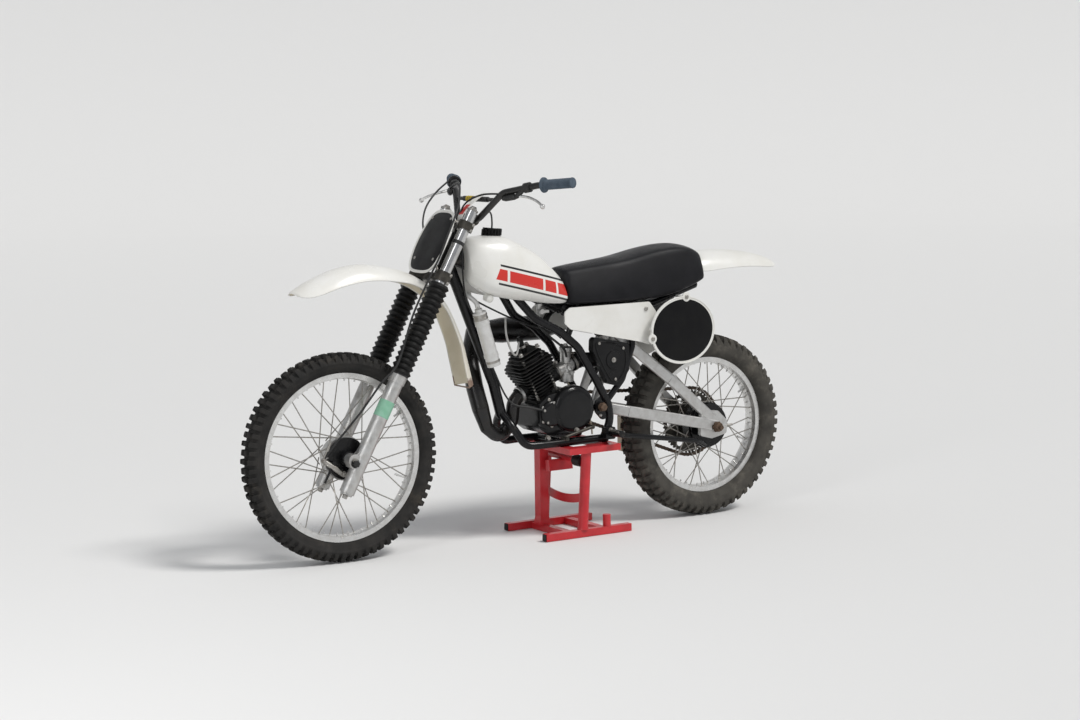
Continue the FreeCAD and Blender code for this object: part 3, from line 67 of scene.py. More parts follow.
# Places on the fork: height of the upper clamp, and where the two legs stand
UPPER_CLAMP = 868
LEG_Y = 95
LEG_AHEAD = 40


def on_fork(height, y=0, forward=0):
    return STEERING_FOOT + (FORK_UP * height + FORK_FORWARD * forward + ACROSS * y) / 1000


def on_leg(height, side):
    return on_fork(height, side * LEG_Y, LEG_AHEAD)


# The bodies that the photo shows turned a little with the bar
STEERED = ("fork", "front_wheel")
TURNED = (
    Matrix.Translation(STEERING_FOOT)
    @ Matrix.Rotation(math.radians(STEER_AT_REST), 4, FORK_UP)
    @ Matrix.Translation(-STEERING_FOOT)
)

SMOOTH_ANGLE = math.radians(32)


# Materials

class Nodes:
    """A short way to write a node tree."""

    def __init__(self, tree):
        self.tree = tree

    def add(self, kind, **sockets):
        node = self.tree.nodes.new(kind)
        for key, value in sockets.items():
            self.put(node, key, value)
        return node

    def put(self, node, key, value):
        """Links or sets a socket, given by its name, or as i and its number."""
        socket = node.inputs[int(key[1:])] if key[0] == "i" and key[1:].isdigit() else node.inputs[key]
        if isinstance(value, bpy.types.NodeSocket):
            self.tree.links.new(value, socket)
        else:
            socket.default_value = value

    def math(self, operation, a, b=0):
        node = self.add("ShaderNodeMath", i0=a, i1=b)
        node.operation = operation
        return node.outputs[0]

    def noise(self, where, scale, detail=4, rough=0.55):
        node = self.add("ShaderNodeTexNoise", Vector=where, Scale=scale, Detail=detail, Roughness=rough)
        return node.outputs["Fac"]

    def step(self, value, low, high, to_low=0, to_high=1):
        """A soft step from to_low, below low, to to_high, above high."""
        node = self.add("ShaderNodeMapRange", i0=value, i1=low, i2=high, i3=to_low, i4=to_high)
        node.interpolation_type = "SMOOTHSTEP"
        return node.outputs[0]

    def mix(self, factor, a, b):
        node = self.tree.nodes.new("ShaderNodeMix")
        node.data_type = "RGBA"
        for socket, value in (("i0", factor), ("i6", a), ("i7", b)):
            self.put(node, socket, value)
        return node.outputs[2]

    def blend_value(self, factor, a, b):
        return self.add("ShaderNodeMix", i0=factor, i2=a, i3=b).outputs[0]


def rgba(colour):
    return (colour[0], colour[1], colour[2], 1)


def finish(name, base, second, rough=(0.4, 0.6), metal=0, scale=30, coat=0, dirt=None, chips=None,
           grain=None, specular=0.5, paint=None):
    """A worn finish: two tones, dirt in patches, chips, and a fine grain in the surface.

    rough is the range of roughness, dirt is a colour, an amount and a scale, chips a colour and an amount,
    grain a strength and a scale, and paint a function that adds a pattern to the colour.
    """
    material = bpy.data.materials.new(name)
    material.use_nodes = True
    tree = material.node_tree
    shader = tree.nodes["Principled BSDF"]
    n = Nodes(tree)
    where = n.add("ShaderNodeTexCoord").outputs["Object"]
    tone = n.noise(where, scale, 5, 0.6)
    colour = n.mix(n.step(tone, 0.3, 0.7), rgba(base), rgba(second))
    roughness = n.step(n.noise(where, scale * 0.6, 3), 0.3, 0.7, rough[0], rough[1])
    metallic = metal
    if paint:
        colour = paint(n, where, colour)
    if dirt:
        dirt_colour, amount, dirt_scale = dirt
        patches = n.noise(where, dirt_scale, 8, 0.68)
        most = min(1, 0.35 + amount)
        mask = n.step(patches, 0.62 - 0.3 * amount, 0.86 - 0.2 * amount, 0, most)
        colour = n.mix(mask, colour, rgba(dirt_colour))
        roughness = n.blend_value(mask, roughness, 0.92)
        if metal:
            metallic = n.math("SUBTRACT", metal, n.math("MULTIPLY", mask, metal * 0.9))
    if chips:
        chip_colour, amount = chips
        chip = n.step(n.noise(where, 95, 6, 0.75), 0.74 - 0.08 * amount, 0.77 - 0.08 * amount)
        colour = n.mix(chip, colour, rgba(chip_colour))
        roughness = n.blend_value(chip, roughness, 0.75)
    sockets = {
        "Base Color": colour,
        "Roughness": roughness,
        "Metallic": metallic,
        "Coat Weight": coat,
        "Coat Roughness": 0.12,
        "Specular IOR Level": specular,
    }
    if grain:
        strength, grain_scale = grain
        height = n.noise(where, grain_scale, 3, 0.6)
        sockets["Normal"] = n.add("ShaderNodeBump", Strength=strength, Distance=0.001,
                                  Height=height).outputs[0]
    for socket, value in sockets.items():
        n.put(shader, socket, value)
    return material


DUST = (0.19, 0.165, 0.13)
RUST = (0.16, 0.055, 0.022)
WHITE = (0.80, 0.795, 0.765)
BLACK = (0.005, 0.005, 0.0055)
# Dirt of the white plastics: colour, amount, scale
WHITE_DIRT = ((0.46, 0.42, 0.34), 0.05, 16)
# Grains: strength, scale
SMOOTH_GRAIN = (0.05, 400)
FINE_GRAIN = (0.1, 400)
COARSE_GRAIN = (0.2, 400)


def band_mask(n, value, centre, half, soft):
    """1 inside centre - half .. centre + half of a value, 0 outside, with a soft edge."""
    away = n.math("ABSOLUTE", n.math("SUBTRACT", value, centre))
    return n.step(away, half - soft, half + soft, 1, 0)


def fender_end(n, where, colour):
    """A darker cream tint that grows towards the bottom of the front fender's rear end, and the brown stain
    along its torn edge.
    """
    parts = n.add("ShaderNodeSeparateXYZ", Vector=where)
    z = n.math("MULTIPLY", parts.outputs[2], 1000)
    ragged = n.math("MULTIPLY", n.noise(where, 45, 6, 0.7), 55)
    # Darker cream tint, strongest low down on the fender
    lower_tint = n.step(z, 640, 900, 0.5, 0)
    colour = n.mix(lower_tint, colour, (0.74, 0.68, 0.54, 1))
    stain = n.step(n.math("ADD", z, ragged), 598, 612, 0.85, 0)
    return n.mix(stain, colour, (0.17, 0.085, 0.05, 1))


def tank_band(n, where, colour):
    """A red band in blocks between two thin black lines, along each side of the tank."""
    parts = n.add("ShaderNodeSeparateXYZ", Vector=where)
    x = n.math("SUBTRACT", n.math("MULTIPLY", parts.outputs[0], 1000), REAR_AXLE_X)
    z = n.math("MULTIPLY", parts.outputs[2], 1000)
    side = n.step(n.math("ABSOLUTE", parts.outputs[1]), 0.055, 0.060)
    level = n.math("SUBTRACT", z, n.math("MULTIPLY", x, 0.265))
    ahead = n.math("ADD", x, n.math("MULTIPLY", level, 0.46))
    front = n.step(ahead, 1226, 1227, 1, 0)
    red = n.math("MULTIPLY", n.math("MULTIPLY", band_mask(n, level, 690.5, 19.5, 0.4), front), side)
    along = n.math("ADD", x, n.math("MULTIPLY", level, 0.1))
    for gap in (940, 799, 742):
        red = n.math("MULTIPLY", red, n.math("SUBTRACT", 1, band_mask(n, along, gap, 4.5, 0.4)))
    colour = n.mix(red, colour, (0.60, 0.030, 0.020, 1))
    for middle, limit in ((722.3, 896), (658.4, 908)):
        behind = n.step(x, limit, limit + 1, 1, 0)
        line = n.math("MULTIPLY", band_mask(n, level, middle, 3.6, 0.4), behind)
        colour = n.mix(n.math("MULTIPLY", line, side), colour, (0.012, 0.012, 0.012, 1))
    return colour


MAT = {
    "tyre": finish("tyre_rubber", (0.016, 0.0155, 0.015), (0.028, 0.026, 0.024), (0.75, 0.95), scale=22,
        dirt=((0.085, 0.072, 0.056), 0.35, 14), grain=(0.35, 900), specular=0.3),
    "dusty_tyre": finish("dusty_tyre_rubber", (0.046, 0.043, 0.038), (0.074, 0.069, 0.060), (0.8, 0.95),
        scale=18, dirt=((0.17, 0.155, 0.13), 0.4, 12), grain=(0.35, 900), specular=0.3),
    "bright": finish("polished_alloy", (0.78, 0.78, 0.77), (0.68, 0.67, 0.65), (0.2, 0.34), 0.85, 50,
        dirt=((0.3, 0.27, 0.23), 0.08, 9), grain=SMOOTH_GRAIN),
    "rim": finish("alloy_rim", (0.76, 0.76, 0.75), (0.66, 0.65, 0.63), (0.24, 0.4), 0.9, 60,
        dirt=((0.20, 0.18, 0.15), 0.12, 9), grain=(0.08, 700)),
    "alloy": finish("cast_alloy", (0.62, 0.62, 0.61), (0.52, 0.51, 0.49), (0.32, 0.5), 0.9, 45,
        dirt=((0.14, 0.12, 0.10), 0.2, 9), grain=(0.25, 850)),
    "swingarm": finish("brushed_alloy", (0.60, 0.60, 0.59), (0.50, 0.49, 0.475), (0.3, 0.46), 0.85, 38,
        dirt=((0.15, 0.13, 0.11), 0.16, 9), grain=(0.16, 420)),
    "steel": finish("zinc_steel", (0.46, 0.45, 0.43), (0.34, 0.32, 0.29), (0.32, 0.55), 1, 80,
        dirt=(RUST, 0.14, 40), grain=FINE_GRAIN),
    "spoke": finish("spoke_steel", (0.50, 0.49, 0.47), (0.36, 0.33, 0.29), (0.3, 0.5), 1, 90,
        dirt=((0.2, 0.12, 0.07), 0.18, 30)),
    "rust": finish("rusty_steel", (0.10, 0.066, 0.045), (0.17, 0.115, 0.08), (0.6, 0.8), 0.5, 120,
        dirt=((0.24, 0.115, 0.055), 0.3, 60), grain=(0.6, 1200)),
    "chrome": finish("fork_chrome", (0.62, 0.62, 0.62), (0.52, 0.52, 0.52), (0.12, 0.24), 1, 30,
        dirt=((0.25, 0.16, 0.10), 0.08, 60)),
    "bar": finish("black_bar", (0.010, 0.010, 0.010), (0.018, 0.017, 0.016), (0.25, 0.42), scale=55,
        dirt=((0.06, 0.042, 0.03), 0.14, 38), chips=((0.28, 0.27, 0.25), 0.5), grain=(0.12, 400)),
    "clamp": finish("dark_clamp", (0.050, 0.047, 0.042), (0.085, 0.078, 0.066), (0.35, 0.55), 0.8, 50,
        dirt=((0.10, 0.075, 0.05), 0.2, 40), grain=COARSE_GRAIN),
    # A darker cream tint, for the fenders' inner faces
    "cream": finish("cream_tinted_plastic", (0.74, 0.68, 0.54), (0.66, 0.59, 0.44), (0.35, 0.5), scale=9,
        dirt=((0.30, 0.22, 0.14), 0.08, 14), grain=SMOOTH_GRAIN),
    "fender": finish("white_fender", WHITE, (0.745, 0.73, 0.68), (0.26, 0.42), scale=8,
        coat=0.15, dirt=WHITE_DIRT, grain=SMOOTH_GRAIN, paint=fender_end),
    "frame": finish("black_frame_paint", BLACK, (0.008, 0.008, 0.009), (0.16, 0.3),
        scale=26, dirt=(DUST, 0.1, 9), chips=((0.09, 0.075, 0.06), 0.3), specular=0.3),
    "engine": finish("black_engine_paint", BLACK, (0.009, 0.009, 0.0095), (0.13, 0.28),
        scale=34, dirt=((0.085, 0.075, 0.062), 0.13, 16), grain=(0.05, 700), specular=0.3),
    "fins": finish("fin_paint", (0.005, 0.005, 0.005), (0.011, 0.0105, 0.010), (0.34, 0.5), scale=40,
        dirt=((0.12, 0.10, 0.085), 0.14, 24), grain=(0.35, 900), specular=0.25),
    "exhaust": finish("black_exhaust_paint", (0.007, 0.007, 0.008), (0.014, 0.012, 0.010), (0.16, 0.34),
        scale=18, dirt=((0.09, 0.055, 0.036), 0.1, 26), grain=COARSE_GRAIN, specular=0.45),
    "stand": finish("red_paint", (0.56, 0.022, 0.030), (0.46, 0.016, 0.022), (0.28, 0.46), scale=24,
        coat=0.2, dirt=((0.22, 0.12, 0.09), 0.1, 9), chips=((0.16, 0.09, 0.06), 0.4)),
    "white": finish("white_plastic", WHITE, (0.74, 0.73, 0.685), (0.28, 0.44), scale=10,
        coat=0.15, dirt=WHITE_DIRT, grain=SMOOTH_GRAIN),
    "black_plastic": finish("black_plastic", BLACK, (0.009, 0.009, 0.0095), (0.26, 0.42),
        scale=30, dirt=(DUST, 0.1, 9), grain=(0.3, 1100), specular=0.25),
    "rubber": finish("black_rubber", (0.005, 0.005, 0.005), (0.009, 0.009, 0.0085), (0.36, 0.54),
        scale=34, dirt=((0.09, 0.08, 0.065), 0.1, 20), grain=(0.2, 800), specular=0.25),
    "grip": finish("grip_rubber", (0.085, 0.115, 0.150), (0.055, 0.078, 0.105), (0.7, 0.9), scale=60,
        dirt=((0.12, 0.11, 0.10), 0.2, 60), grain=(0.35, 1200)),
    "seat": finish("seat_cover", (0.0045, 0.0045, 0.006), (0.008, 0.008, 0.010), (0.3, 0.44), scale=16,
        dirt=((0.05, 0.048, 0.045), 0.04, 9), grain=(0.55, 1500), specular=0.22),
    "can": finish("silver_canister", (0.70, 0.70, 0.69), (0.60, 0.595, 0.58), (0.3, 0.45), 0.35, 40,
        dirt=((0.25, 0.22, 0.19), 0.08, 9), grain=FINE_GRAIN),
    "cable": finish("cable_cover", (0.012, 0.012, 0.012), (0.02, 0.02, 0.02), (0.4, 0.6), scale=60,
        grain=FINE_GRAIN),
    "guide": finish("worn_nylon", (0.56, 0.52, 0.40), (0.46, 0.41, 0.30), (0.5, 0.7), scale=40,
        dirt=((0.09, 0.075, 0.06), 0.4, 30)),
    "yellow": finish("yellow_band", (0.62, 0.46, 0.03), (0.52, 0.36, 0.02), (0.5, 0.65), scale=60,
        grain=FINE_GRAIN),
    "green": finish("green_tape", (0.20, 0.44, 0.30), (0.26, 0.50, 0.37), (0.4, 0.6), scale=50,
        grain=FINE_GRAIN),
    "red_patch": finish("red_patch", (0.62, 0.028, 0.022), (0.52, 0.022, 0.02), (0.4, 0.55), scale=50),
    "chain": finish("oiled_chain", (0.060, 0.050, 0.042), (0.14, 0.10, 0.075), (0.35, 0.6), 0.8, 120,
        dirt=((0.10, 0.055, 0.032), 0.3, 60), grain=COARSE_GRAIN),
    "tank": finish("tank_plastic", WHITE, (0.755, 0.745, 0.70), (0.22, 0.36), scale=9,
        coat=0.3, dirt=WHITE_DIRT, grain=(0.04, 400), paint=tank_band),
    "lead": finish("lead_cover", (0.46, 0.46, 0.45), (0.38, 0.37, 0.35), (0.4, 0.6), scale=60,
        grain=FINE_GRAIN),
    "label_black": finish("plate_black", (0.004, 0.004, 0.005), (0.007, 0.007, 0.007), (0.34, 0.5),
        scale=18, dirt=(DUST, 0.06, 9), grain=(0.06, 400), specular=0.16),
}

# Finish: the solids of part.py that have it
NODES_BY_FINISH = {
    "frame": ("frame_backbone", "frame_down_tube", "frame_cradle", "frame_side_tubes", "frame_subframe",
        "shock_absorber", "footpegs", "brake_pedal", "brake_torque_arm"),
    "rust": ("pivot_bolt", "rear_axle", "chain"),
    "engine": ("engine_cases", "engine_covers", "rear_brake_plate", "front_brake_plate", "rear_hub"),
    "fins": ("cylinder", "cylinder_head"),
    "rubber": ("spark_plug", "fork_gaiters"),
    "alloy": ("carburettor", "fork_legs", "hand_levers", "front_hub"),
    "black_plastic": ("airbox", "filler_cap"),
    "exhaust": ("exhaust_pipe", "silencer"),
    "tank": ("fuel_tank",),
    "seat": ("seat",),
    "white": ("rear_fender", "side_panels", "side_number_plates", "front_fender", "front_number_plate"),
    "swingarm": ("swingarm",),
    "can": ("reservoir",),
    "steel": ("front_sprocket", "front_axle"),
    "guide": ("chain_guide",),
    "clamp": ("shift_lever", "kick_lever", "lower_clamp", "upper_clamp", "rear_sprocket"),
    "stand": ("stand_base", "stand_platform"),
    "chrome": ("fork_tubes",),
    "bar": ("handlebar",),
    "grip": ("grips",),
    "tyre": ("front_tyre", "rear_tyre"),
    "rim": ("front_rim", "rear_rim"),
    "spoke": ("front_spokes", "rear_spokes"),
}


def paint_nodes():
    for finish_name, names in NODES_BY_FINISH.items():
        for name in names:
            NODES[name].data.materials.clear()
            NODES[name].data.materials.append(MAT[finish_name])


paint_nodes()


# Mesh helpers

def make(name, verts, faces, material, body=None):
    """A smooth piece with its finish, turned with the bar where its body is."""
    mesh = bpy.data.meshes.new(name)
    mesh.from_pydata([tuple(v) for v in verts], [], faces)
    mesh.update()
    if body in STEERED:
        mesh.transform(TURNED)
    mesh.shade_smooth()
    obj = bpy.data.objects.new(name, mesh)
    bpy.context.scene.collection.objects.link(obj)
    if material:
        mesh.materials.append(MAT[material])
    return obj


def solid(name, verts, faces, material, body, angle=SMOOTH_ANGLE, bevel=0):
    """A closed piece: faces outward, edges cut by the bevel, shading that breaks at edges over the angle."""
    obj = make(name, verts, faces, material, body)
    mesh = bmesh.new()
    mesh.from_mesh(obj.data)
    bmesh.ops.recalc_face_normals(mesh, faces=mesh.faces)
    if bevel:
        bmesh.ops.bevel(mesh, geom=list(mesh.edges), offset=bevel, segments=1, affect="EDGES")
    mesh.normal_update()
    for edge in mesh.edges:
        if len(edge.link_faces) == 2:
            edge.smooth = edge.calc_face_angle(0) < angle
    mesh.to_mesh(obj.data)
    mesh.free()
    obj.data.shade_smooth()
    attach(obj, body)
    return obj


def basis(along):
    """A direction as a unit, and two directions across it."""
    along = along.normalized()
    side = along.cross(UP if abs(along.z) < 0.9 else ACROSS).normalized()
    return along, side, side.cross(along).normalized()


def smooth_line(points, steps=10):
    """A smooth line through points or numbers."""
    line = []
    last = len(points) - 1
    for i in range(last):
        a = points[max(i - 1, 0)]
        b = points[i]
        c = points[i + 1]
        d = points[min(i + 2, last)]
        for k in range(steps):
            t = k / steps
            bend = (2 * a - 5 * b + 4 * c - d) * t * t + (3 * b - a - 3 * c + d) * t * t * t
            line.append(0.5 * (2 * b + (c - a) * t + bend))
    line.append(points[last])
    return line


def way_at(line, i):
    """The direction of a line at one of its points."""
    return (line[min(i + 1, len(line) - 1)] - line[max(i - 1, 0)]).normalized()


def turns(count, phase=0):
    """Angles all the way round."""
    return [2 * math.pi * (k + phase) / count for k in range(count)]


def circle(centre, side, rise, radius, sides, phase=0):
    """Points round a centre, in the plane of two directions, at a radius in mm."""
    reach = radius / 1000
    return [centre + (side * math.cos(turn) + rise * math.sin(turn)) * reach for turn in turns(sides, phase)]


def ring_faces(rings, count):
    """The faces of a skin over rings of the same number of points, closed at both ends."""
    faces = []
    for i in range(rings - 1):
        for k in range(count):
            a = i * count + k
            b = i * count + (k + 1) % count
            faces.append((a, b, b + count, a + count))
    last = (rings - 1) * count
    return faces + [tuple(range(count - 1, -1, -1)), tuple(range(last, last + count))]


def pipe(name, points, radius, material, body, sides=10, steps=10):
    """A round hose or cable through the points, with closed ends."""
    line = smooth_line(points, steps) if steps > 1 else points
    verts = []
    side = basis(line[1] - line[0])[1]
    for i, place in enumerate(line):
        way = way_at(line, i)
        side = (side - way * side.dot(way)).normalized()
        verts += circle(place, side, way.cross(side), radius, sides)
    obj = make(name, verts, ring_faces(len(line), sides), material, body)
    if body:
        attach(obj, body)
    return obj


class Pile:
    """Gathers small parts into one mesh."""

    def __init__(self):
        self.verts = []
        self.faces = []

    def put(self, verts, faces):
        base = len(self.verts)
        self.verts += verts
        self.faces += [tuple(base + i for i in face) for face in faces]

    def lathe(self, centre, axis, profile, sides=24, phase=0):
        """Turns (along, radius) points, in mm, about an axis; a radius of 0 closes the form."""
        along, side, rise = basis(axis)
        verts = []
        for step, radius in profile:
            verts += circle(centre + along * (step / 1000), side, rise, max(radius, 0.01), sides, phase)
        self.put(verts, ring_faces(len(profile), sides))

    def rod(self, start, axis, length, radius, sides=12):
        """A plain round bar."""
        self.lathe(start, axis, [(0, radius), (length, radius)], sides)

    def bolt(self, place, axis, size, washer=True, height=0.65):
        """A hexagon head of the given width over its corners, with a washer under it."""
        if washer:
            self.lathe(place, axis, [(-0.5, size * 0.62), (0.8, size * 0.62)], 20)
        top = size * height
        self.lathe(place, axis, [(0.5, size * 0.5), (top * 0.85, size * 0.5), (top, size * 0.42)], 6)

    def screw(self, place, axis, size):
        """A domed screw head."""
        shape = [(-0.5, 0.5), (0.18, 0.5), (0.32, 0.36), (0.36, 0.12)]
        profile = [(along if along < 0 else size * along, size * radius) for along, radius in shape]
        self.lathe(place, axis, profile, 16)

    def box(self, centre, size, along=FORWARD, side=ACROSS, taper=0):
        """A box of length, width and height in mm, its top smaller than its foot by the taper."""
        along = along.normalized()
        side = side.normalized()
        rise = along.cross(side).normalized()
        length, width, height = (measure / 2000 for measure in size)
        verts = []
        for top, share in ((-1, 1), (1, 1 - taper)):
            for a, b in ((-1, -1), (1, -1), (1, 1), (-1, 1)):
                flat = (along * (a * length) + side * (b * width)) * share
                verts.append(centre + flat + rise * (top * height))
        self.put(verts, [(3, 2, 1, 0), (4, 5, 6, 7), (0, 1, 5, 4), (1, 2, 6, 5), (2, 3, 7, 6), (3, 0, 4, 7)])

    def done(self, name, material, body, angle=SMOOTH_ANGLE):
        return solid(name, self.verts, self.faces, material, body, angle)


# Seat cushion

SEAT_RING = 28
SEAT_CROWN = 12
SEAT_SWELL = 3


def seat_section(low, high, bottom, top):
    """One section of the cushion: a flat foot, walls that swell a little, and a crowned top."""
    points = []
    wall = high - low - SEAT_CROWN
    for k in range(SEAT_RING):
        t = k / SEAT_RING * 4
        if t < 1:
            points.append((bottom * (1 - 2 * t), low))
        elif 2 <= t < 3:
            across = 2 * (t - 2) - 1
            points.append((top * across, low + wall + SEAT_CROWN * (1 - across * across)))
        else:
            u = t - 1 if t < 2 else 4 - t
            out = bottom + (top - bottom) * u ** 1.3 + math.sin(math.pi * u) * SEAT_SWELL
            points.append((-out if t < 2 else out, low + wall * u))
    return points


def build_seat():
    # Columns: x, lowest z, highest z, half width at the bottom, half width at the top
    stations = [
        (618, 806, 924, 84, 52),
        (600, 804, 930, 90, 62),
        (520, 803, 939, 103, 72),
        (440, 803, 946, 107, 78),
        (360, 803, 955, 109, 82),
        (300, 804, 967, 109, 83),
        (240, 806, 979, 109, 82),
        (180, 815, 986, 108, 81),
        (130, 828, 988, 105, 79),
        (80, 843, 978, 100, 75),
        (45, 858, 962, 93, 66),
        (36, 863, 948, 88, 60),
    ]
    verts = [at(x, y, z) for x, *sizes in stations for y, z in seat_section(*sizes)]
    seat = make("seat_cushion", verts, ring_faces(len(stations), SEAT_RING), "seat", "chassis")
    subdivide = seat.modifiers.new("round", "SUBSURF")
    subdivide.levels = 2
    subdivide.render_levels = 2
    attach(seat, "chassis")
    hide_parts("seat")


build_seat()


# Tyres

# Columns: name, wheel body, hub, radius, width, rim radius, rim width, finish of the rubber, tread steps
WHEELS = (
    ("front", "front_wheel", FRONT_HUB, 350, 84, 281.5, 50, "tyre", 72),
    ("rear", "rear_wheel", REAR_HUB, 327, 112, 243.5, 62, "dusty_tyre", 60),
)
LUG_HEIGHT = 15
TYRE_SIDES = 144


def around(centre, turn, radius, across):
    """A place on a wheel: an angle round it, a radius and a distance across, in mm."""
    return centre + Vector((math.cos(turn) * radius, across, math.sin(turn) * radius)) / 1000


def inward(turn):
    """The way from the rim to the hub."""
    return Vector((-math.cos(turn), 0, -math.sin(turn)))


def build_carcass(name, body, centre, crown, width, rim_radius, rim_width, rubber):
    widest = (rim_radius + crown) / 2
    seat = rim_width / 2 - 4
    # Columns: distance across and radius of the carcass, from the crown to the bead
    half = [
        (0, crown),
        (width * 0.16, crown - 0.5),
        (width * 0.31, crown - 3.5),
        (width * 0.42, crown - 10),
        (width * 0.48, crown - 17),
        (width * 0.5 - 0.5, crown - 22),
        (width * 0.5 - 1, widest + 4),
        (width * 0.5 - 3, widest - 4),
        (width * 0.5 - 6, rim_radius + 12),
        (width * 0.5 - 8, rim_radius + 10.5),
        (width * 0.5 - 9, rim_radius + 8.5),
        (max(seat + 2, width * 0.5 - 14), rim_radius + 3.5),
        (seat, rim_radius + 1),
        (seat, rim_radius - 12.5),
    ]
    loop = half + [(-y, r) for y, r in reversed(half[1:])]
    verts = [around(centre, turn, r, y) for y, r in loop for turn in turns(TYRE_SIDES)]
    faces = []
    for i in range(len(loop)):
        low = i * TYRE_SIDES
        high = (i + 1) % len(loop) * TYRE_SIDES
        for k in range(TYRE_SIDES):
            a = (k + 1) % TYRE_SIDES
            faces.append((low + k, low + a, high + a, high + k))
    solid(name + "_tyre_carcass", verts, faces, rubber, body, angle=math.radians(50))


# A lug's corners: inner edge then outer edge of the foot, then of the top
LUG_FACES = [(0, 1, 3, 2), (4, 6, 7, 5), (0, 4, 5, 1), (2, 3, 7, 6), (0, 2, 6, 4), (1, 5, 7, 3)]


def lug_corners(lug, middle, half_step, crown, wear):
    """The corners of a lug, as angle, radius and distance across: its foot, then its smaller top."""
    inner, outer, heights, share = lug
    corners = []
    # Columns: share of the lug's length, heights over the carcass at both edges, how far the edges move in
    for spread, lifts, inset in ((1.06, (-2, -2), 0), (0.88, [high * wear for high in heights], 0.006)):
        reach = half_step * share * spread
        for (across, drop), lift, way in zip((inner, outer), lifts, (-1, 1)):
            for turn in (-reach, reach):
                corners.append((middle + turn, crown - drop + lift, across - way * inset))
    return corners


def build_lugs(name, body, centre, crown, width, rubber, tread_steps):
    dice = random.Random(7)
    lugs = Pile()
    # Columns: which steps of the tread have the lug (0 even, 1 odd), across and drop of its inner edge, the
    # same of its outer edge, heights over the carcass at both edges, and share of the step that it fills
    table = [
        (0, (0.315, 3), (0.498, 19), (14.5, 13.5), 0.62),
        (1, (0.365, 6), (0.498, 19.5), (14, 12.5), 0.56),
        (1, (0.03, 0), (0.225, 1.5), (14.5, 14.5), 0.72),
        (0, (-0.13, 0), (0.13, 0), (14, 14), 0.56),
    ]
    half_step = math.pi / tread_steps
    for i in range(tread_steps):
        for odd, *lug in table:
            if i % 2 != odd:
                continue
            in_middle = lug[0][0] < 0
            for side in ((1,) if in_middle else (1, -1)):
                wear = dice.uniform(0.94, 1)
                lean = dice.uniform(-0.02, 0.02)
                middle = 2 * half_step * (i + 0.5 + lean)
                corners = lug_corners(lug, middle, half_step, crown, wear)
                lugs.put([around(centre, turn, out, side * width * across) for turn, out, across in corners],
                         LUG_FACES)
    obj = solid(name + "_tyre_lugs", lugs.verts, lugs.faces, rubber, body, angle=math.radians(28),
                bevel=0.0014)
    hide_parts(name + "_tyre")


def build_tyre(name, body, hub, radius, width, rim_radius, rim_width, rubber, tread_steps):
    crown = radius - LUG_HEIGHT
    build_carcass(name, body, at(*hub), crown, width, rim_radius, rim_width, rubber)
    build_lugs(name, body, at(*hub), crown, width, rubber, tread_steps)


for wheel in WHEELS:
    build_tyre(*wheel)


# Chain

CHAIN_PITCH = 15.875
CHAIN_Y = -68
REAR_TEETH = 48
FRONT_TEETH = 13
FRONT_SPROCKET = Vector((552, 444))


def chain_pins():
    """The pins of the chain round both sprockets, one pitch apart, in mm (x, z)."""
    big = CHAIN_PITCH / 2 / math.sin(math.pi / REAR_TEETH)
    small = CHAIN_PITCH / 2 / math.sin(math.pi / FRONT_TEETH)
    a = Vector((REAR_HUB[0], REAR_HUB[2]))
    b = FRONT_SPROCKET
    gap = b - a
    base = math.atan2(gap.y, gap.x)
    lift = math.acos((big - small) / gap.length)
    line = []

    def arc(middle, radius, start, end, count):
        for k in range(count + 1):
            turn = start + (end - start) * k / count
            line.append(middle + Vector((math.cos(turn), math.sin(turn))) * radius)

    arc(b, small, base + lift, base - lift, 60)
    arc(a, big, base - lift + 2 * math.pi, base + lift, 240)
    line.append(line[0].copy())
    total = sum((q - p).length for p, q in zip(line, line[1:]))
    links = 2 * round(total / CHAIN_PITCH / 2)
    step = total / links
    pins = []
    passed = 0
    for p, q in zip(line, line[1:]):
        run = (q - p).length
        while passed <= run and len(pins) < links and run > 0:
            pins.append(p + (q - p) * (passed / run))
            passed += step
        passed -= run
    return pins


# Columns: share along the link and half height of its plate there
LINK_SHAPE = [
    (-0.34, 2.6), (-0.25, 5.2), (0, 6.4), (0.2, 5.8), (0.5, 4.4),
    (0.8, 5.8), (1, 6.4), (1.25, 5.2), (1.34, 2.6),
]
LINK_THICK = 1.3
# Half the distance between the plates of an outer and of an inner link
OUTER_HALF = 7
INNER_HALF = 5.6
# Columns: length, radius, sides of the roller and of the pin
ROLLER_AND_PIN = ((9.6, 5, 10), (16.4, 2.2, 8))


def build_chain():
    pins = chain_pins()
    plates = Pile()
    rollers = Pile()
    for i, pin in enumerate(pins):
        ahead = pins[(i + 1) % len(pins)]
        along = Vector((ahead.x - pin.x, 0, ahead.y - pin.y)).normalized()
        rise = Vector((-along.z, 0, along.x))
        half = INNER_HALF if i % 2 else OUTER_HALF
        for side in (-1, 1):
            ring = []
            for share, high in LINK_SHAPE + [(s, -h) for s, h in reversed(LINK_SHAPE)]:
                place = at(pin.x, CHAIN_Y + side * half, pin.y) + along * (share * CHAIN_PITCH / 1000)
                ring.append(place + rise * (high / 1000))
            count = len(ring)
            back = [v - ACROSS * (side * LINK_THICK / 1000) for v in ring]
            faces = [tuple(range(count)), tuple(range(2 * count - 1, count - 1, -1))]
            faces += [(k, (k + 1) % count, count + (k + 1) % count, count + k) for k in range(count)]
            plates.put(ring + back, faces)
        centre = at(pin.x, CHAIN_Y, pin.y)
        for length, radius, sides in ROLLER_AND_PIN:
            rollers.rod(centre - ACROSS * (length / 2000), ACROSS, length, radius, sides)
    links = plates.done("chain_plates", "chain", "chassis")
    rollers.done("chain_rollers", "chain", "chassis")
    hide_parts("chain")


build_chain()


# Tank

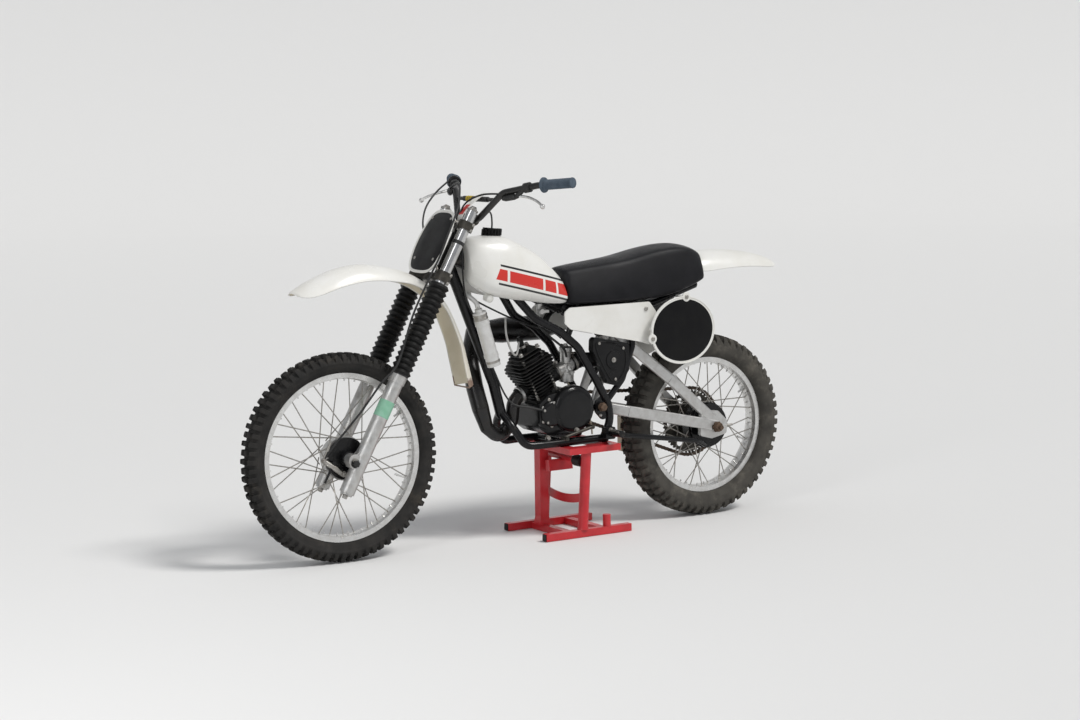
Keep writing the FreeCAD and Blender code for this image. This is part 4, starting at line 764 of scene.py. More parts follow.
def cut_corners(points, rounds):
    """Rounds a closed outline by cutting its corners."""
    for _ in range(rounds):
        smooth = []
        for i, point in enumerate(points):
            after = points[(i + 1) % len(points)]
            smooth.append(point * 0.78 + after * 0.22)
            smooth.append(point * 0.22 + after * 0.78)
        points = smooth
    return points


def spread_stations(stations, steps):
    """More rows between the rows of a table, along a smooth line."""
    return list(zip(*(smooth_line(column, steps) for column in zip(*stations))))


def skin(name, sections, material, body="chassis"):
    """A closed skin through rings of the same number of points."""
    verts = [v for section in sections for v in section]
    faces = ring_faces(len(sections), len(sections[0]))
    return solid(name, verts, faces, material, body, angle=math.radians(40))


# The backbone's line under the tank, and the height of the tank's tunnel over it
BACKBONE_X = 604
BACKBONE_Z = 805
BACKBONE_SLOPE = 0.4716
TUNNEL_OVER = 40
TUNNEL_HALF = 38


def build_tank():
    # Columns: x, lowest z, highest z, half width low down, half width at the shoulder
    stations = [
        (996, 918, 1036, 62, 50),
        (984, 896, 1045, 82, 62),
        (930, 862, 1052, 108, 84),
        (850, 840, 1052, 121, 98),
        (780, 829, 1022, 121, 98),
        (710, 817, 982, 117, 92),
        (650, 811, 928, 108, 80),
        (622, 811, 898, 99, 70),
    ]
    sections = []
    rows = spread_stations(stations, 5)
    # How far the rings at both ends are drawn in
    shares = {0: 0.93, 1: 0.98, len(rows) - 2: 0.985, len(rows) - 1: 0.94}
    for i, (x, low, high, bottom, shoulder) in enumerate(rows):
        height = high - low
        tunnel = BACKBONE_Z + BACKBONE_SLOPE * (x - BACKBONE_X) + TUNNEL_OVER
        tunnel = max(min(tunnel, high - 16), low + 4)
        half = [
            (TUNNEL_HALF, tunnel),
            (TUNNEL_HALF, low + 1),
            (bottom * 0.80, low),
            (bottom, low + height * 0.13),
            (bottom * 1.01, low + height * 0.34),
            (bottom * 0.3 + shoulder * 0.72, low + height * 0.68),
            (shoulder * 0.86, low + height * 0.90),
            (shoulder * 0.48, high),
        ]
        outline = half + [(-y, z) for y, z in reversed(half)]
        ring = cut_corners([Vector((y, z)) for y, z in outline], 2)
        middle = Vector((0, (low + high) / 2))
        ring = [middle + (point - middle) * shares.get(i, 1) for point in ring]
        sections.append([at(x, point.x, point.y) for point in ring])
    tank = skin("tank_skin", sections, "tank")
    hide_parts("fuel_tank")


def build_tank_trim():
    """Bosses at the tank's front corners, and the ribbed cap."""
    trim = Pile()
    for side in (-1, 1):
        boss = [(-22, 15), (2, 13), (5, 9), (6, 0)]
        trim.lathe(at(927, side * 84, 846), ACROSS * side + UP * -0.25, boss, 20)
    trim.done("tank_bosses", "white", "chassis")
    cap = Pile()
    way = Vector((-0.12, 0, 1)).normalized()
    foot = at(868, 0, 1040)
    cap.lathe(foot, way, [(0, 33), (14, 33), (15, 30), (16, 30)], 40)
    for turn in turns(18):
        side = Vector((math.cos(turn), math.sin(turn), 0))
        cap.lathe(foot + side * 0.031 + way * 0.013, way, [(0, 4.2), (20, 4.2), (22, 3.4)], 8)
    cap.lathe(foot + way * 0.012, way, [(0, 30.5), (22, 30.5), (24, 28), (24.4, 12), (25, 4)], 40)
    cap.done("cap_ribs", "black_plastic", "chassis")


build_tank()
build_tank_trim()


# Number plates

FACE_THICK = 0.0006


def face_on(outline, name, body, out):
    """A thin black face with a small crown from a closed outline of places."""
    middle = sum(outline, Vector()) / len(outline)
    rings = [[p - out * 0.001 for p in outline]]
    # Columns: share of the way to the middle, height over the face's edge
    for share, rise in ((0, 0), (0.02, 0.0006), (0.5, 0.0016)):
        rings.append([p.lerp(middle, share) + out * (FACE_THICK + rise) for p in outline])
    count = len(outline)
    verts = [v for ring in rings for v in ring] + [middle + out * (FACE_THICK + 0.0019)]
    # The last ring is closed by a fan to the middle in place of one flat face
    faces = ring_faces(len(rings), count)[:-1]
    top = (len(rings) - 1) * count
    faces += [(top + k, top + (k + 1) % count, top + count) for k in range(count)]
    solid(name, verts, faces, "label_black", body)


# How far the front plate's board stands ahead of the fork, and its thickness
PLATE_AHEAD = 80
PLATE_THICK = 5
# Columns: x, y, z along the strap from the plate up to the handlebar
STRAP = [
    (1024, 62, 1086), (1012, 48, 1124), (990, 45, 1151), (950, 42, 1180),
    (915, 38, 1196), (898, 34, 1196),
]


def build_front_plate():
    """The front number plate's board, face and rim."""
    # Columns: height from the upper clamp, half width
    shape = [(-196, 60), (-168, 92), (-98, 108), (-8, 94), (34, 58)]
    corners = [Vector((h, y)) for h, y in shape] + [Vector((h, -y)) for h, y in reversed(shape)]
    middle = Vector((-86, 0))
    rim = cut_corners(corners, 3)

    def grown(share, ahead):
        places = [middle + (p - middle) * share for p in rim]
        return [on_fork(UPPER_CLAMP + p.x, p.y, PLATE_AHEAD + ahead) for p in places]

    board = [grown(share, out) for out, share in ((0, 0.985), (0.6, 1), (4.4, 1), (PLATE_THICK, 0.99))]
    obj = skin("front_plate_board", board, "white", "fork")
    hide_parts("front_number_plate")
    face_on(grown(0.93, PLATE_THICK), "front_plate_face", "fork", FORK_FORWARD)
    edge = [on_fork(UPPER_CLAMP + p.x, p.y * 0.985, PLATE_AHEAD + PLATE_THICK) for p in rim]
    pipe("front_plate_rim", edge + edge[:2], 3, "white", "fork", 8, 1)


def build_plate_stays():
    stays = Pile()
    for side in (-1, 1):
        # Columns: height of the stay on the plate, height on the clamp
        for on_plate, on_clamp in ((722, 686), (872, UPPER_CLAMP)):
            start = on_fork(on_plate, side * 66, PLATE_AHEAD + 1)
            end = on_fork(on_clamp, side * 82, 52)
            stays.rod(start, end - start, (end - start).length * 1000, 4)
            stays.screw(on_fork(on_plate, side * 66, PLATE_AHEAD + 5.4), FORK_FORWARD, 11)
    stays.done("front_plate_stays", "steel", "fork")


def build_strap(name, low, high, wide, thick, material):
    """A flat band along the strap's line, from one share of its length to another."""
    line = smooth_line([at(*p) for p in STRAP], 8)
    line = line[int(low * (len(line) - 1)):int(high * (len(line) - 1)) + 1]
    sections = []
    for i, place in enumerate(line):
        way = way_at(line, i)
        side = (ACROSS - way * way.y).normalized()
        out = way.cross(side)
        ring = []
        for a, b in ((-1, -1), (1, -1), (1, 1), (-1, 1)):
            ring.append(place + (side * (a * wide) + out * (b * thick)) / 1000)
        sections.append(ring)
    skin(name, sections, material, "fork")


# The side plates: middle, then distance from the middle plane, half length and half height of face and rim
SIDE_PLATE_X = 170
SIDE_PLATE_Z = 690
SIDE_FACE = (139, 127, 109)
SIDE_RIM = (138.2, 135, 117)


def side_oval(side, out, length, height):
    """An oval round the middle of a side plate, from its half length and half height."""
    places = []
    for turn in turns(72):
        x = SIDE_PLATE_X + math.cos(turn) * length
        places.append(at(x, side * out, SIDE_PLATE_Z + math.sin(turn) * height))
    return places


def build_side_plate(name, side):
    face_on(side_oval(side, *SIDE_FACE), name + "_plate_face", "chassis", ACROSS * side)
    edge = side_oval(side, *SIDE_RIM)
    pipe(name + "_plate_rim", edge + edge[:2], 2.4, "white", "chassis", 8, 1)
    ears = Pile()
    bolts = Pile()
    for x, z in ((155, 806), (300, 668)):
        ears.lathe(at(x, side * 135, z), ACROSS * side, [(0, 17), (4.6, 17), (5.4, 16)], 28)
        bolts.screw(at(x, side * 140.4, z), ACROSS * side, 15)
    bolts.screw(at(306, side * 107.4, 772), ACROSS * side, 15)
    ears.done(name + "_plate_ears", "white", "chassis")
    bolts.done(name + "_plate_screws", "steel", "chassis")


build_front_plate()
build_plate_stays()
build_strap("plate_strap", 0, 1, 14, 1.6, "white")
build_strap("strap_patch", 0.26, 0.48, 13, 2.2, "red_patch")
build_side_plate("right", -1)
build_side_plate("left", 1)


# Steering, brake and engine details

BAR_HALF_WIDTH = 425
# Places on one side of the handlebar: out from the middle, behind and above its clamp
GRIP_END = (BAR_HALF_WIDTH - 2, 166, 124)
GRIP_START = (BAR_HALF_WIDTH - 133, 108, 115)
CROSSBAR_END = (0.395 * BAR_HALF_WIDTH, 46, 91)
# The bar's clamp on the fork: height over the upper clamp and distance ahead
BAR_CLAMP_UP = 44
BAR_CLAMP_AHEAD = -4


def bar_at(side, out, behind, above):
    """A place on the handlebar, given as in part.py's table."""
    clamp = on_fork(UPPER_CLAMP + BAR_CLAMP_UP, side * out, BAR_CLAMP_AHEAD)
    return clamp + Vector((-behind, 0, above)) / 1000


GRIP_RIBS = 24
RIB_STEP = 4.4


def build_grips():
    """Ribbed grip covers over the plain grips, with their end rings."""
    ribs = Pile()
    for side in (-1, 1):
        end = bar_at(side, *GRIP_END)
        profile = [(-4, 0), (-4, 13), (-2, 17.5), (2, 18.2), (4, 17)]
        for k in range(GRIP_RIBS):
            start = 5 + k * RIB_STEP
            profile += [(start, 16.1), (start + 0.9, 17.2), (start + 2.4, 17.2), (start + 3.4, 16.1)]
        profile += [(112, 17), (114, 25.5), (118, 26), (120, 24), (121, 17), (124, 15), (124, 0)]
        ribs.lathe(end, bar_at(side, *GRIP_START) - end, profile, 36)
    obj = ribs.done("grip_ribs", "grip", "fork", angle=math.radians(40))
    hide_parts("grips")


def build_bar_trim():
    """The black pad round the crossbar's middle, its yellow bands and the throttle housing."""
    low = bar_at(1, 70, 0, 0)
    high = bar_at(1, *CROSSBAR_END)
    cross = low.lerp(high, 0.74)
    middle = Vector((cross.x, 0, cross.z))
    tape = Pile()
    tape.lathe(middle - ACROSS * 0.085, ACROSS, [(0, 7), (1, 9.2), (169, 9.2), (170, 7)], 20)
    tape.done("crossbar_pad", "cable", "fork")
    bands = Pile()
    for y in (-58, -44, -30):
        bands.lathe(middle + ACROSS * (y / 1000), ACROSS, [(0, 8.9), (0.4, 10.2), (9.6, 10.2), (10, 8.9)],
                    20)
    bands.done("crossbar_bands", "yellow", "fork")
    housing = Pile()
    end = bar_at(-1, *GRIP_END)
    way = (bar_at(-1, *GRIP_START) - end).normalized()
    housing.lathe(end + way * 0.123, way, [(0, 20), (2, 23), (24, 23), (27, 18), (28, 12)], 28)
    housing.done("throttle_housing", "black_plastic", "fork")


BRAKE_ARM = at(1553, 59, 352)


def build_brake_cable():
    """From the right lever in front of the plate, then down outside the left leg to the brake arm."""
    line = [
        at(912, -204, 1214),
        at(948, -76, 1233),
        at(1003, 30, 1193),
        at(1046, 92, 1149),
        at(1097, 118, 1071),
        at(1134, 126, 1002),
        at(1168, 116, 936),
        at(1232, 108, 811),
        at(1300, 124, 660),
        at(1362, 124, 600),
        at(1430, 98, 505),
        at(1500, 74, 420),
        BRAKE_ARM,
    ]
    pipe("front_brake_cable", line, 3.6, "cable", "fork")


def build_steered_cables():
    """Clutch and throttle: from the bar past the head tube to the engine, bent between fork and frame."""
    clutch = [
        at(893, 196, 1196),
        on_fork(985, 110, 40),
        on_fork(930, 40, 52),
        on_fork(850, 50, 18),
        at(1004, 46, 880),
        at(948, 30, 760),
        at(880, 28, 590),
        at(838, 60, 486),
        at(770, 84, 462),
        at(722, 92, 450),
    ]
    throttle = [
        bar_at(-1, 286, 100, 112) + FORK_FORWARD * 0.02,
        on_fork(985, -212, 44),
        on_fork(919, -191, 66),
        on_fork(857, -146, 75),
        on_fork(812, -98, 70),
        on_fork(778, -56, 56),
        on_fork(742, -48, 28),
        at(990, -44, 880),
        at(880, -46, 815),
        at(720, -50, 740),
        at(620, -20, 705),
        at(590, 0, 680),
    ]
    # Columns: name, points, how many of them belong to the fork
    for name, points, riding in (("clutch_cable", clutch, 4), ("throttle_cable", throttle, 7)):
        turned = [TURNED @ p if i < riding else p for i, p in enumerate(points)]
        obj = pipe(name, turned, 3.2, "cable", None, 8)
        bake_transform(obj)


# The cylinder leans forward from its foot
LEAN = math.radians(24)
CYLINDER_FOOT = (650, 440)
LEAN_UP = Vector((math.sin(LEAN), 0, math.cos(LEAN)))
LEAN_FORWARD = Vector((math.cos(LEAN), 0, -math.sin(LEAN)))


def on_cylinder(height, ahead=0, y=0):
    return at(CYLINDER_FOOT[0], y, CYLINDER_FOOT[1]) + (LEAN_UP * height + LEAN_FORWARD * ahead) / 1000


# Columns: name, radius, finish, sides, then x, y, z along it
HOSES = (
    ("fuel_hose", 4.2, "cable", 10,
     [(708, 40, 748), (700, 40, 728), (662, 36, 696), (604, 34, 650), (586, 26, 618)]),
    ("carburettor_overflow", 3, "guide", 8,
     [(575, 10, 548), (572, 16, 520), (560, 40, 470), (520, 66, 400), (512, 70, 345)]),
    ("cap_vent", 3, "cable", 8,
     [(866, 0, 1064), (864, 2, 1096), (872, 6, 1130), (900, 10, 1138), (918, 12, 1112)]),
)


def build_hoses():
    lead = [at(829, 22, 772), at(832, 30, 716), at(815, 30, 662), at(790, 26, 640), on_cylinder(272)]
    pipe("plug_lead", lead, 3.6, "lead", "chassis")
    for name, radius, material, sides, run in HOSES:
        pipe(name, [at(*p) for p in run], radius, material, "chassis", sides)


# Middles of the engine's round covers
LARGE_COVER = (604, 108.5, 445)
SMALL_COVER = (688, 99, 436)
RIGHT_COVER = (664, -103.5, 440)


def round_cover(cover, radius, count, phase):
    """Places on a circle round the middle of a cover."""
    x, y, z = cover
    return [at(x + math.cos(turn) * radius, y, z + math.sin(turn) * radius) for turn in turns(count, phase)]


def build_engine_fasteners():
    steel = Pile()
    # Cover screws
    for x, z in ((724, 410), (724, 458), (700, 484), (628, 488), (612, 384), (690, 392)):
        steel.screw(at(x, 88.6, z), ACROSS, 12)
    for place in round_cover(SMALL_COVER, 38, 5, 20 / 72):
        steel.screw(place, ACROSS, 9)
    for place in round_cover(RIGHT_COVER, 52, 4, 0.5):
        steel.screw(place, -ACROSS, 10)
    for ahead in (-40, 40):
        for y in (-38, 38):
            steel.rod(on_cylinder(60, ahead, y), LEAN_UP, 150, 5)
            steel.bolt(on_cylinder(228, ahead * 0.9, y * 0.9), LEAN_UP, 15)
    steel.bolt(at(604, 112, 372), ACROSS, 16)
    steel.bolt(at(560, 77, 500), ACROSS, 14)
    steel.bolt(at(700, 77, 350), ACROSS, 16)
    steel.lathe(on_cylinder(240), LEAN_UP, [(0, 12), (8, 12), (8.2, 7), (18, 7)], 6)
    steel.done("engine_fasteners", "steel", "chassis")


def build_plug_cap():
    cap = Pile()
    cap.lathe(on_cylinder(252), LEAN_UP, [(0, 8), (2, 10.5), (22, 10.5), (26, 8), (30, 6)], 20)
    cap.done("plug_cap", "rubber", "chassis")


def build_cover_crown():
    """A shallow crown on each of the two round covers of the left side."""
    cover = Pile()
    crown = [(0, 70), (1.5, 70.5), (2.6, 69), (3.4, 60), (4.4, 40), (4.8, 15), (4.9, 0)]
    cover.lathe(at(*LARGE_COVER), ACROSS, crown, 72)
    cover.lathe(at(*SMALL_COVER), ACROSS, [(0, 30), (1.4, 29), (2, 12), (2.1, 0)], 40)
    cover.done("cover_crown", "engine", "chassis")


# Where the carburettor's bore starts at the cylinder and ends at the airbox
INTAKE = on_cylinder(100, -74)
AIRBOX_MOUTH = at(522, 0, 600)


def build_carburettor_details():
    """The body, float bowl and top, with their fittings."""
    carb = Pile()
    middle = (INTAKE + AIRBOX_MOUTH) / 2
    carb.lathe(middle + UP * -0.054, UP, [(0, 20), (4, 27), (30, 28), (31, 31), (36, 31), (37, 27)], 28)
    carb.lathe(middle + UP * 0.050, UP, [(0, 20.5), (3, 23), (16, 23), (19, 20), (22, 9), (30, 6)], 28)
    carb.lathe(middle + ACROSS * 0.018, ACROSS, [(0, 13), (14, 12), (15, 6), (24, 5)], 16)
    carb.lathe(middle + ACROSS * 0.020 + UP * -0.022, ACROSS + UP * 0.1, [(0, 6), (16, 5), (17, 8), (21, 8)],
               6)
    carb.lathe(middle + UP * -0.060, UP, [(0, 7), (8, 8.5)], 6)
    for y in (-17, 17):
        for x in (-15, 15):
            carb.screw(middle + Vector((x, y, 0)) / 1000 + UP * -0.016, UP, 7)
    carb.done("carburettor_details", "alloy", "chassis")


def build_hose_clamps():
    clamps = Pile()
    along = (AIRBOX_MOUTH - INTAKE).normalized()
    for share, radius in ((0.04, 31.5), (0.74, 30.4), (0.96, 30.4)):
        place = INTAKE.lerp(AIRBOX_MOUTH, share)
        clamps.lathe(place, along, [(0, radius - 2), (0, radius), (9, radius), (9, radius - 2)], 32)
        clamps.box(place + along * 0.004 + UP * (radius + 3) / 1000, (7, 16, 8), along)
    clamps.done("hose_clamps", "steel", "chassis")


def build_petcock():
    tap = Pile()
    tap.lathe(at(706, 40, 812), UP * -1, [(0, 13), (8, 13), (9, 9), (36, 9), (38, 5), (62, 4)], 16)
    tap.lathe(at(706, 46, 786), ACROSS, [(0, 8), (12, 8), (13, 10), (18, 9)], 16)
    tap.box(at(696, 62, 786), (34, 5, 9))
    tap.done("petcock", "alloy", "chassis")


def build_port_collar():
    port = Pile()
    start = on_cylinder(98, 84)
    port.lathe(start - LEAN_FORWARD * 0.012, LEAN_FORWARD, [(0, 28), (2, 30.5), (10, 30.5), (12, 27)], 32)
    port.done("port_collar", "alloy", "chassis")


BALL_RADIUS = 9
# By side: name, then x, y, z from the pivot to the middle of the ball, without the turn of the bar
LEVERS = {
    1: ("left", [(889, 222, 1192), (868, 256, 1188), (857, 298, 1175), (859, 337, 1159)]),
    -1: ("right", [(906, -222, 1204), (944, -256, 1192), (964, -298, 1178), (959, -337, 1168)]),
}


def build_levers():
    """Perches with rubber covers and ball-ended levers, in place of the plain ones."""
    perches = Pile()
    for side in (-1, 1):
        out = bar_at(side, *GRIP_START)
        way = (out - bar_at(side, *CROSSBAR_END)).normalized()
        clamp = out - way * 0.052
        perches.lathe(clamp, way, [(0, 12), (1, 17), (23, 17), (24, 12)], 24)
        hand, run = LEVERS[side]
        line = [at(*point) for point in run]
        pivot = line[0]
        down = pivot - clamp
        length = down.length * 1000
        perches.lathe(clamp, down, [(6, 8), (length, 9), (length + 7, 6)], 16)
        perches.lathe(pivot - way * 0.006, way * -1, [(0, 8), (8, 11), (40, 10), (54, 5)], 18)
        perches.bolt(pivot + down.normalized() * 0.007, down, 10)
        pipe("lever_" + hand, line, 4.8, "bright", "fork", 12, 8)
        ball = Pile()
        profile = []
        for k in range(11):
            turn = math.pi * k / 10
            profile.append((BALL_RADIUS * (1 - math.cos(turn)), BALL_RADIUS * math.sin(turn)))
        ball.lathe(line[-1] - ACROSS * (side * BALL_RADIUS / 1000), ACROSS * side, profile, 20)
        ball.done("lever_ball_" + hand, "bright", "fork")
    perches.done("lever_perches", "cable", "fork")
    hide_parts("hand_levers")


def arched_shell(name, stations, node, body, material):
    """A fender: an arched sheet through sections of x, z, half width and edge drop, with a rolled edge."""
    thick = 3
    rows = spread_stations(stations, 6)
    count = 18
    sections = []
    left = []
    right = []
    for i, (x, z, half, drop) in enumerate(rows):
        before = rows[max(i - 1, 0)]
        after = rows[min(i + 1, len(rows) - 1)]
        run = Vector((after[0] - before[0], 0, after[1] - before[1])).normalized()
        under = Vector((-run.z, 0, run.x))
        round_radius = (half * half + drop * drop) / (2 * drop)
        widest = math.asin(min(half / round_radius, 1))
        ring = []
        for radius, order in ((round_radius, 1), (round_radius - thick, -1)):
            for k in range(count):
                turn = widest * (2 * k / (count - 1) - 1) * order
                sink = round_radius - radius * math.cos(turn)
                ring.append(at(x, 0, z) + (ACROSS * (radius * math.sin(turn)) + under * sink) / 1000)
        right.append((ring[0] + ring[-1]) / 2)
        left.append((ring[count - 1] + ring[count]) / 2)
        sections.append(ring)
    obj = skin(name, sections, material, body)
    # The inner face gets the darker cream tint
    obj.data.materials.append(MAT["cream"])
    for i in range(len(sections) - 1):
        for k in range(count, 2 * count - 1):
            obj.data.polygons[i * 2 * count + k].material_index = 1
    pipe(name + "_edge", right + left[::-1], 2.6, material, body, 8, 1)
    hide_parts(node)


def build_fenders():
    # Columns: x, z of the ridge, half width, drop from the ridge to the edge
    front = [
        (1620, 903, 34, 9),
        (1613, 909, 54, 19),
        (1592, 921, 69, 33),
        (1556, 939, 75, 43),
        (1480, 968, 75, 50),
        (1400, 983, 72, 52),
        (1330, 980, 69, 48),
        (1260, 966, 64, 42),
        (1180, 938, 55, 33),
        (1100, 884, 54, 28),
        (1050, 822, 54, 25),
        (1004, 715, 56, 28),
        (984, 640, 55, 32),
        (964, 556, 54, 36),
    ]
    rear = [
        (150, 900, 70, 26),
        (85, 934, 79, 52),
        (20, 953, 84, 66),
        (-100, 951, 83, 58),
        (-200, 937, 76, 47),
        (-270, 919, 66, 36),
        (-304, 905, 54, 24),
        (-316, 898, 42, 14),
    ]
    arched_shell("front_fender_shell", front, "front_fender", "fork", "fender")
    arched_shell("rear_fender_shell", rear, "rear_fender", "chassis", "white")
    spacers = Pile()
    for side in (-1, 1):
        spacers.rod(on_fork(636, side * 26, 34), FORK_UP, 28, 8, 16)
        spacers.screw(on_fork(632, side * 26, 34), FORK_UP * -1, 12)
    spacers.done("fender_spacers", "steel", "fork")


SPOKES = 36
# How far under the rim's edge the nipples and the stem start, and how far the spokes stand off the middle
NIPPLE_DEPTH = 19
STEM_DEPTH = 20
NIPPLE_OFF = 7
# Columns: angle round the wheel in degrees, profile from the rim inward, sides
RIM_PIECES = (
    (201, [(0, 6), (3, 6), (3.2, 3), (34, 3), (34.2, 3.8), (46, 3.8)], 12),
    (150, [(0, 9), (3, 9), (3.2, 7), (10, 7), (10.2, 3.6), (26, 3.6)], 6),
)


def build_wheel_trim():
    """Spoke nipples, valve stems and rim locks."""
    for name, body, hub, _, _, rim_radius, _, _, _ in WHEELS:
        centre = at(*hub)
        trim = Pile()
        for k, turn in enumerate(turns(SPOKES, 0.5)):
            foot = around(centre, turn, rim_radius - NIPPLE_DEPTH, NIPPLE_OFF if k % 2 else -NIPPLE_OFF)
            trim.lathe(foot, inward(turn), [(0, 3.2), (9, 2.7)], 8)
        for degrees, profile, sides in RIM_PIECES:
            turn = math.radians(degrees)
            trim.lathe(around(centre, turn, rim_radius - STEM_DEPTH, 0), inward(turn), profile, sides)
        trim.done(name + "_wheel_trim", "bright", body)


# The axle's lug on a fork leg: its height, and how far it stands ahead of the leg
LUG_UP = -8
LUG_AHEAD = FORK_FORWARD * 0.024


def build_fork_trim():
    """Brake arm, axle lug, green tape, gaiter bands, clamp bolts and tube caps."""
    steel = Pile()
    arm = BRAKE_ARM
    hinge = at(1484, 61, 302)
    steel.lathe(arm, hinge - arm, [(-7, 5.5), (0, 8.5), (84, 9.5), (94, 7)], 12)
    steel.lathe(arm - ACROSS * 0.010, at(1506, 50, 366) - arm, [(0, 5), (50, 7)], 10)
    steel.bolt(hinge + ACROSS * 0.007, ACROSS, 17)
    steel.bolt(arm + ACROSS * 0.006, ACROSS, 13)
    adjuster = [(0, 3), (30, 3), (30.5, 6), (44, 6), (44.5, 4.5), (60, 4.5)]
    steel.lathe(arm + UP * 0.004, Vector((-40, 18, 92)), adjuster, 10)
    lug = Pile()
    for side in (-1, 1):
        foot = on_leg(LUG_UP, side)
        inner = foot + ACROSS * (side * -0.018) + LUG_AHEAD
        lug.lathe(inner, ACROSS * side, [(0, 19), (36, 19), (38, 17)], 28)
        lug.box(foot + FORK_FORWARD * 0.012 + FORK_UP * 0.022, (34, 22, 62), FORK_FORWARD, ACROSS, 0.25)
        lug.lathe(on_leg(300, side), FORK_UP, [(0, 25.6), (1, 28.5), (20, 28.5), (22, 26)], 32)
        steel.bolt(on_leg(-114, side), FORK_UP * -1, 17)
        steel.lathe(on_leg(924, side), FORK_UP, [(0, 19.2), (5, 19.2), (6, 13), (10, 13)], 24)
        steel.lathe(on_leg(934, side), FORK_UP, [(0, 10), (6, 9.5)], 6)
        for height in (664, 692, 858, 878):
            steel.bolt(on_fork(height, side * 116, 24), FORK_FORWARD, 12)
    steel.done("fork_fasteners", "steel", "fork")
    lug.done("axle_lugs", "alloy", "fork")
    tape = Pile()
    tape.lathe(on_leg(168, 1), FORK_UP, [(0, 25.6), (0.2, 26.1), (58, 26.1), (58.2, 25.6)], 40)
    tape.done("fork_tape", "green", "fork")
    bands = Pile()
    for side in (-1, 1):
        foot = on_leg(LUG_UP, side)
        bands.bolt(foot + ACROSS * (side * 0.020) + LUG_AHEAD, ACROSS * side, 24)
        for height, radius in ((320, 29.5), (646, 23.5)):
            band = [(0, radius), (0.4, radius + 1.4), (8, radius + 1.4), (8.4, radius)]
            bands.lathe(on_leg(height, side), FORK_UP, band, 32)
        bands.lathe(on_leg(800, side), FORK_UP, [(0, 19.2), (0.3, 21), (12, 21), (12.3, 19.2)], 28)
    bands.done("fork_bands", "cable", "fork")


# The middle of the airbox's ring
AIRBOX_X = 438
AIRBOX_Z = 602
PEG_TEETH = 11
TOOTH_STEP = 5.8


def build_side_trim():
    """The airbox's ring, ridge and knob, axle adjusters, footpeg teeth, canister collars and frame bolts."""
    black = Pile()
    ring = [(0, 33), (3.4, 31.5), (3.6, 29), (0.8, 17), (0.4, 12)]
    black.lathe(at(AIRBOX_X, 99.5, AIRBOX_Z), ACROSS, ring, 40)
    ridge = [(512, 676), (388, 648), (388, 566), (424, 522), (454, 530), (512, 640)]
    rim = cut_corners([Vector(p) for p in ridge], 2)
    edge = [at(p.x, 100.4, p.y) for p in rim]
    pipe("airbox_ridge", edge + edge[:2], 2.4, "black_plastic", "chassis", 8, 1)
    black.done("airbox_ring", "black_plastic", "chassis")
    steel = Pile()
    steel.lathe(at(AIRBOX_X, 96, AIRBOX_Z), ACROSS, [(0, 9), (5, 9), (6, 6), (10, 6)], 12)
    for x, z in ((498, 664), (398, 640), (432, 534)):
        steel.screw(at(x, 100.4, z), ACROSS, 10)
    for side in (-1, 1):
        steel.rod(at(-36, side * 92, REAR_HUB[2]), -FORWARD, 7, 9, 6)
        steel.rod(at(-42, side * 92, REAR_HUB[2]), -FORWARD, 34, 4)
        steel.bolt(at(472, side * 126.5, 362), ACROSS * side, 14)
        steel.bolt(at(345, side * 88, 776), ACROSS * side, 13)
        for x, z in ((470, 470), (492, 412)):
            steel.screw(at(x, side * 93.4, z), ACROSS * side, 12)
        for k in range(PEG_TEETH):
            steel.box(at(470, side * (132 + k * TOOTH_STEP), 362 + k % 2), (26, 2, 5))
    low = at(897, 54, 615)
    high = at(951, 52, 800)
    way = (high - low).normalized()
    collar = []
    for start in (0, 13):
        collar += [(start, 23.6), (start + 0.4, 25), (start + 7, 25), (start + 7.4, 23.6)]
    steel.lathe(high - way * 0.026, way, collar, 40)
    steel.lathe(low + way * 0.012, way, [(0, 23.6), (0.4, 24.8), (8, 24.8), (8.4, 23.6)], 40)
    steel.bolt(high + way * 0.012, way, 18)
    steel.done("side_fasteners", "steel", "chassis")
    rusty = Pile()
    for side in (-1, 1):
        axle = [(0, 21), (2, 21), (2.4, 16.5), (16, 16.5), (18, 14), (18.4, 8.4), (30, 8)]
        pivot = [(0, 17), (2, 17), (2.4, 14), (13, 14), (15, 11)]
        rusty.lathe(at(0, side * 105, REAR_HUB[2]), ACROSS * side, axle, 6)
        rusty.lathe(at(490, side * 102, 442), ACROSS * side, pivot, 6)
    rusty.done("rusty_nuts", "rust", "chassis")


STAND_HALF_WIDTH = 125
SKID_SIZE = (352, 26, 26)
# Columns: x, z of the foot and of the top of the two round columns
COLUMN = ((592, 26), (574, 296))
CROSS_BARS_X = (640, 500)
POST_X = 640
POST_Y = -62
# The arched strip between the columns: half its span, its height in the middle, and how fast it rises outward
ARCH_HALF = 112
ARCH_Z = 122
ARCH_RISE = 0.0011
STAND_LINK_Z = 262


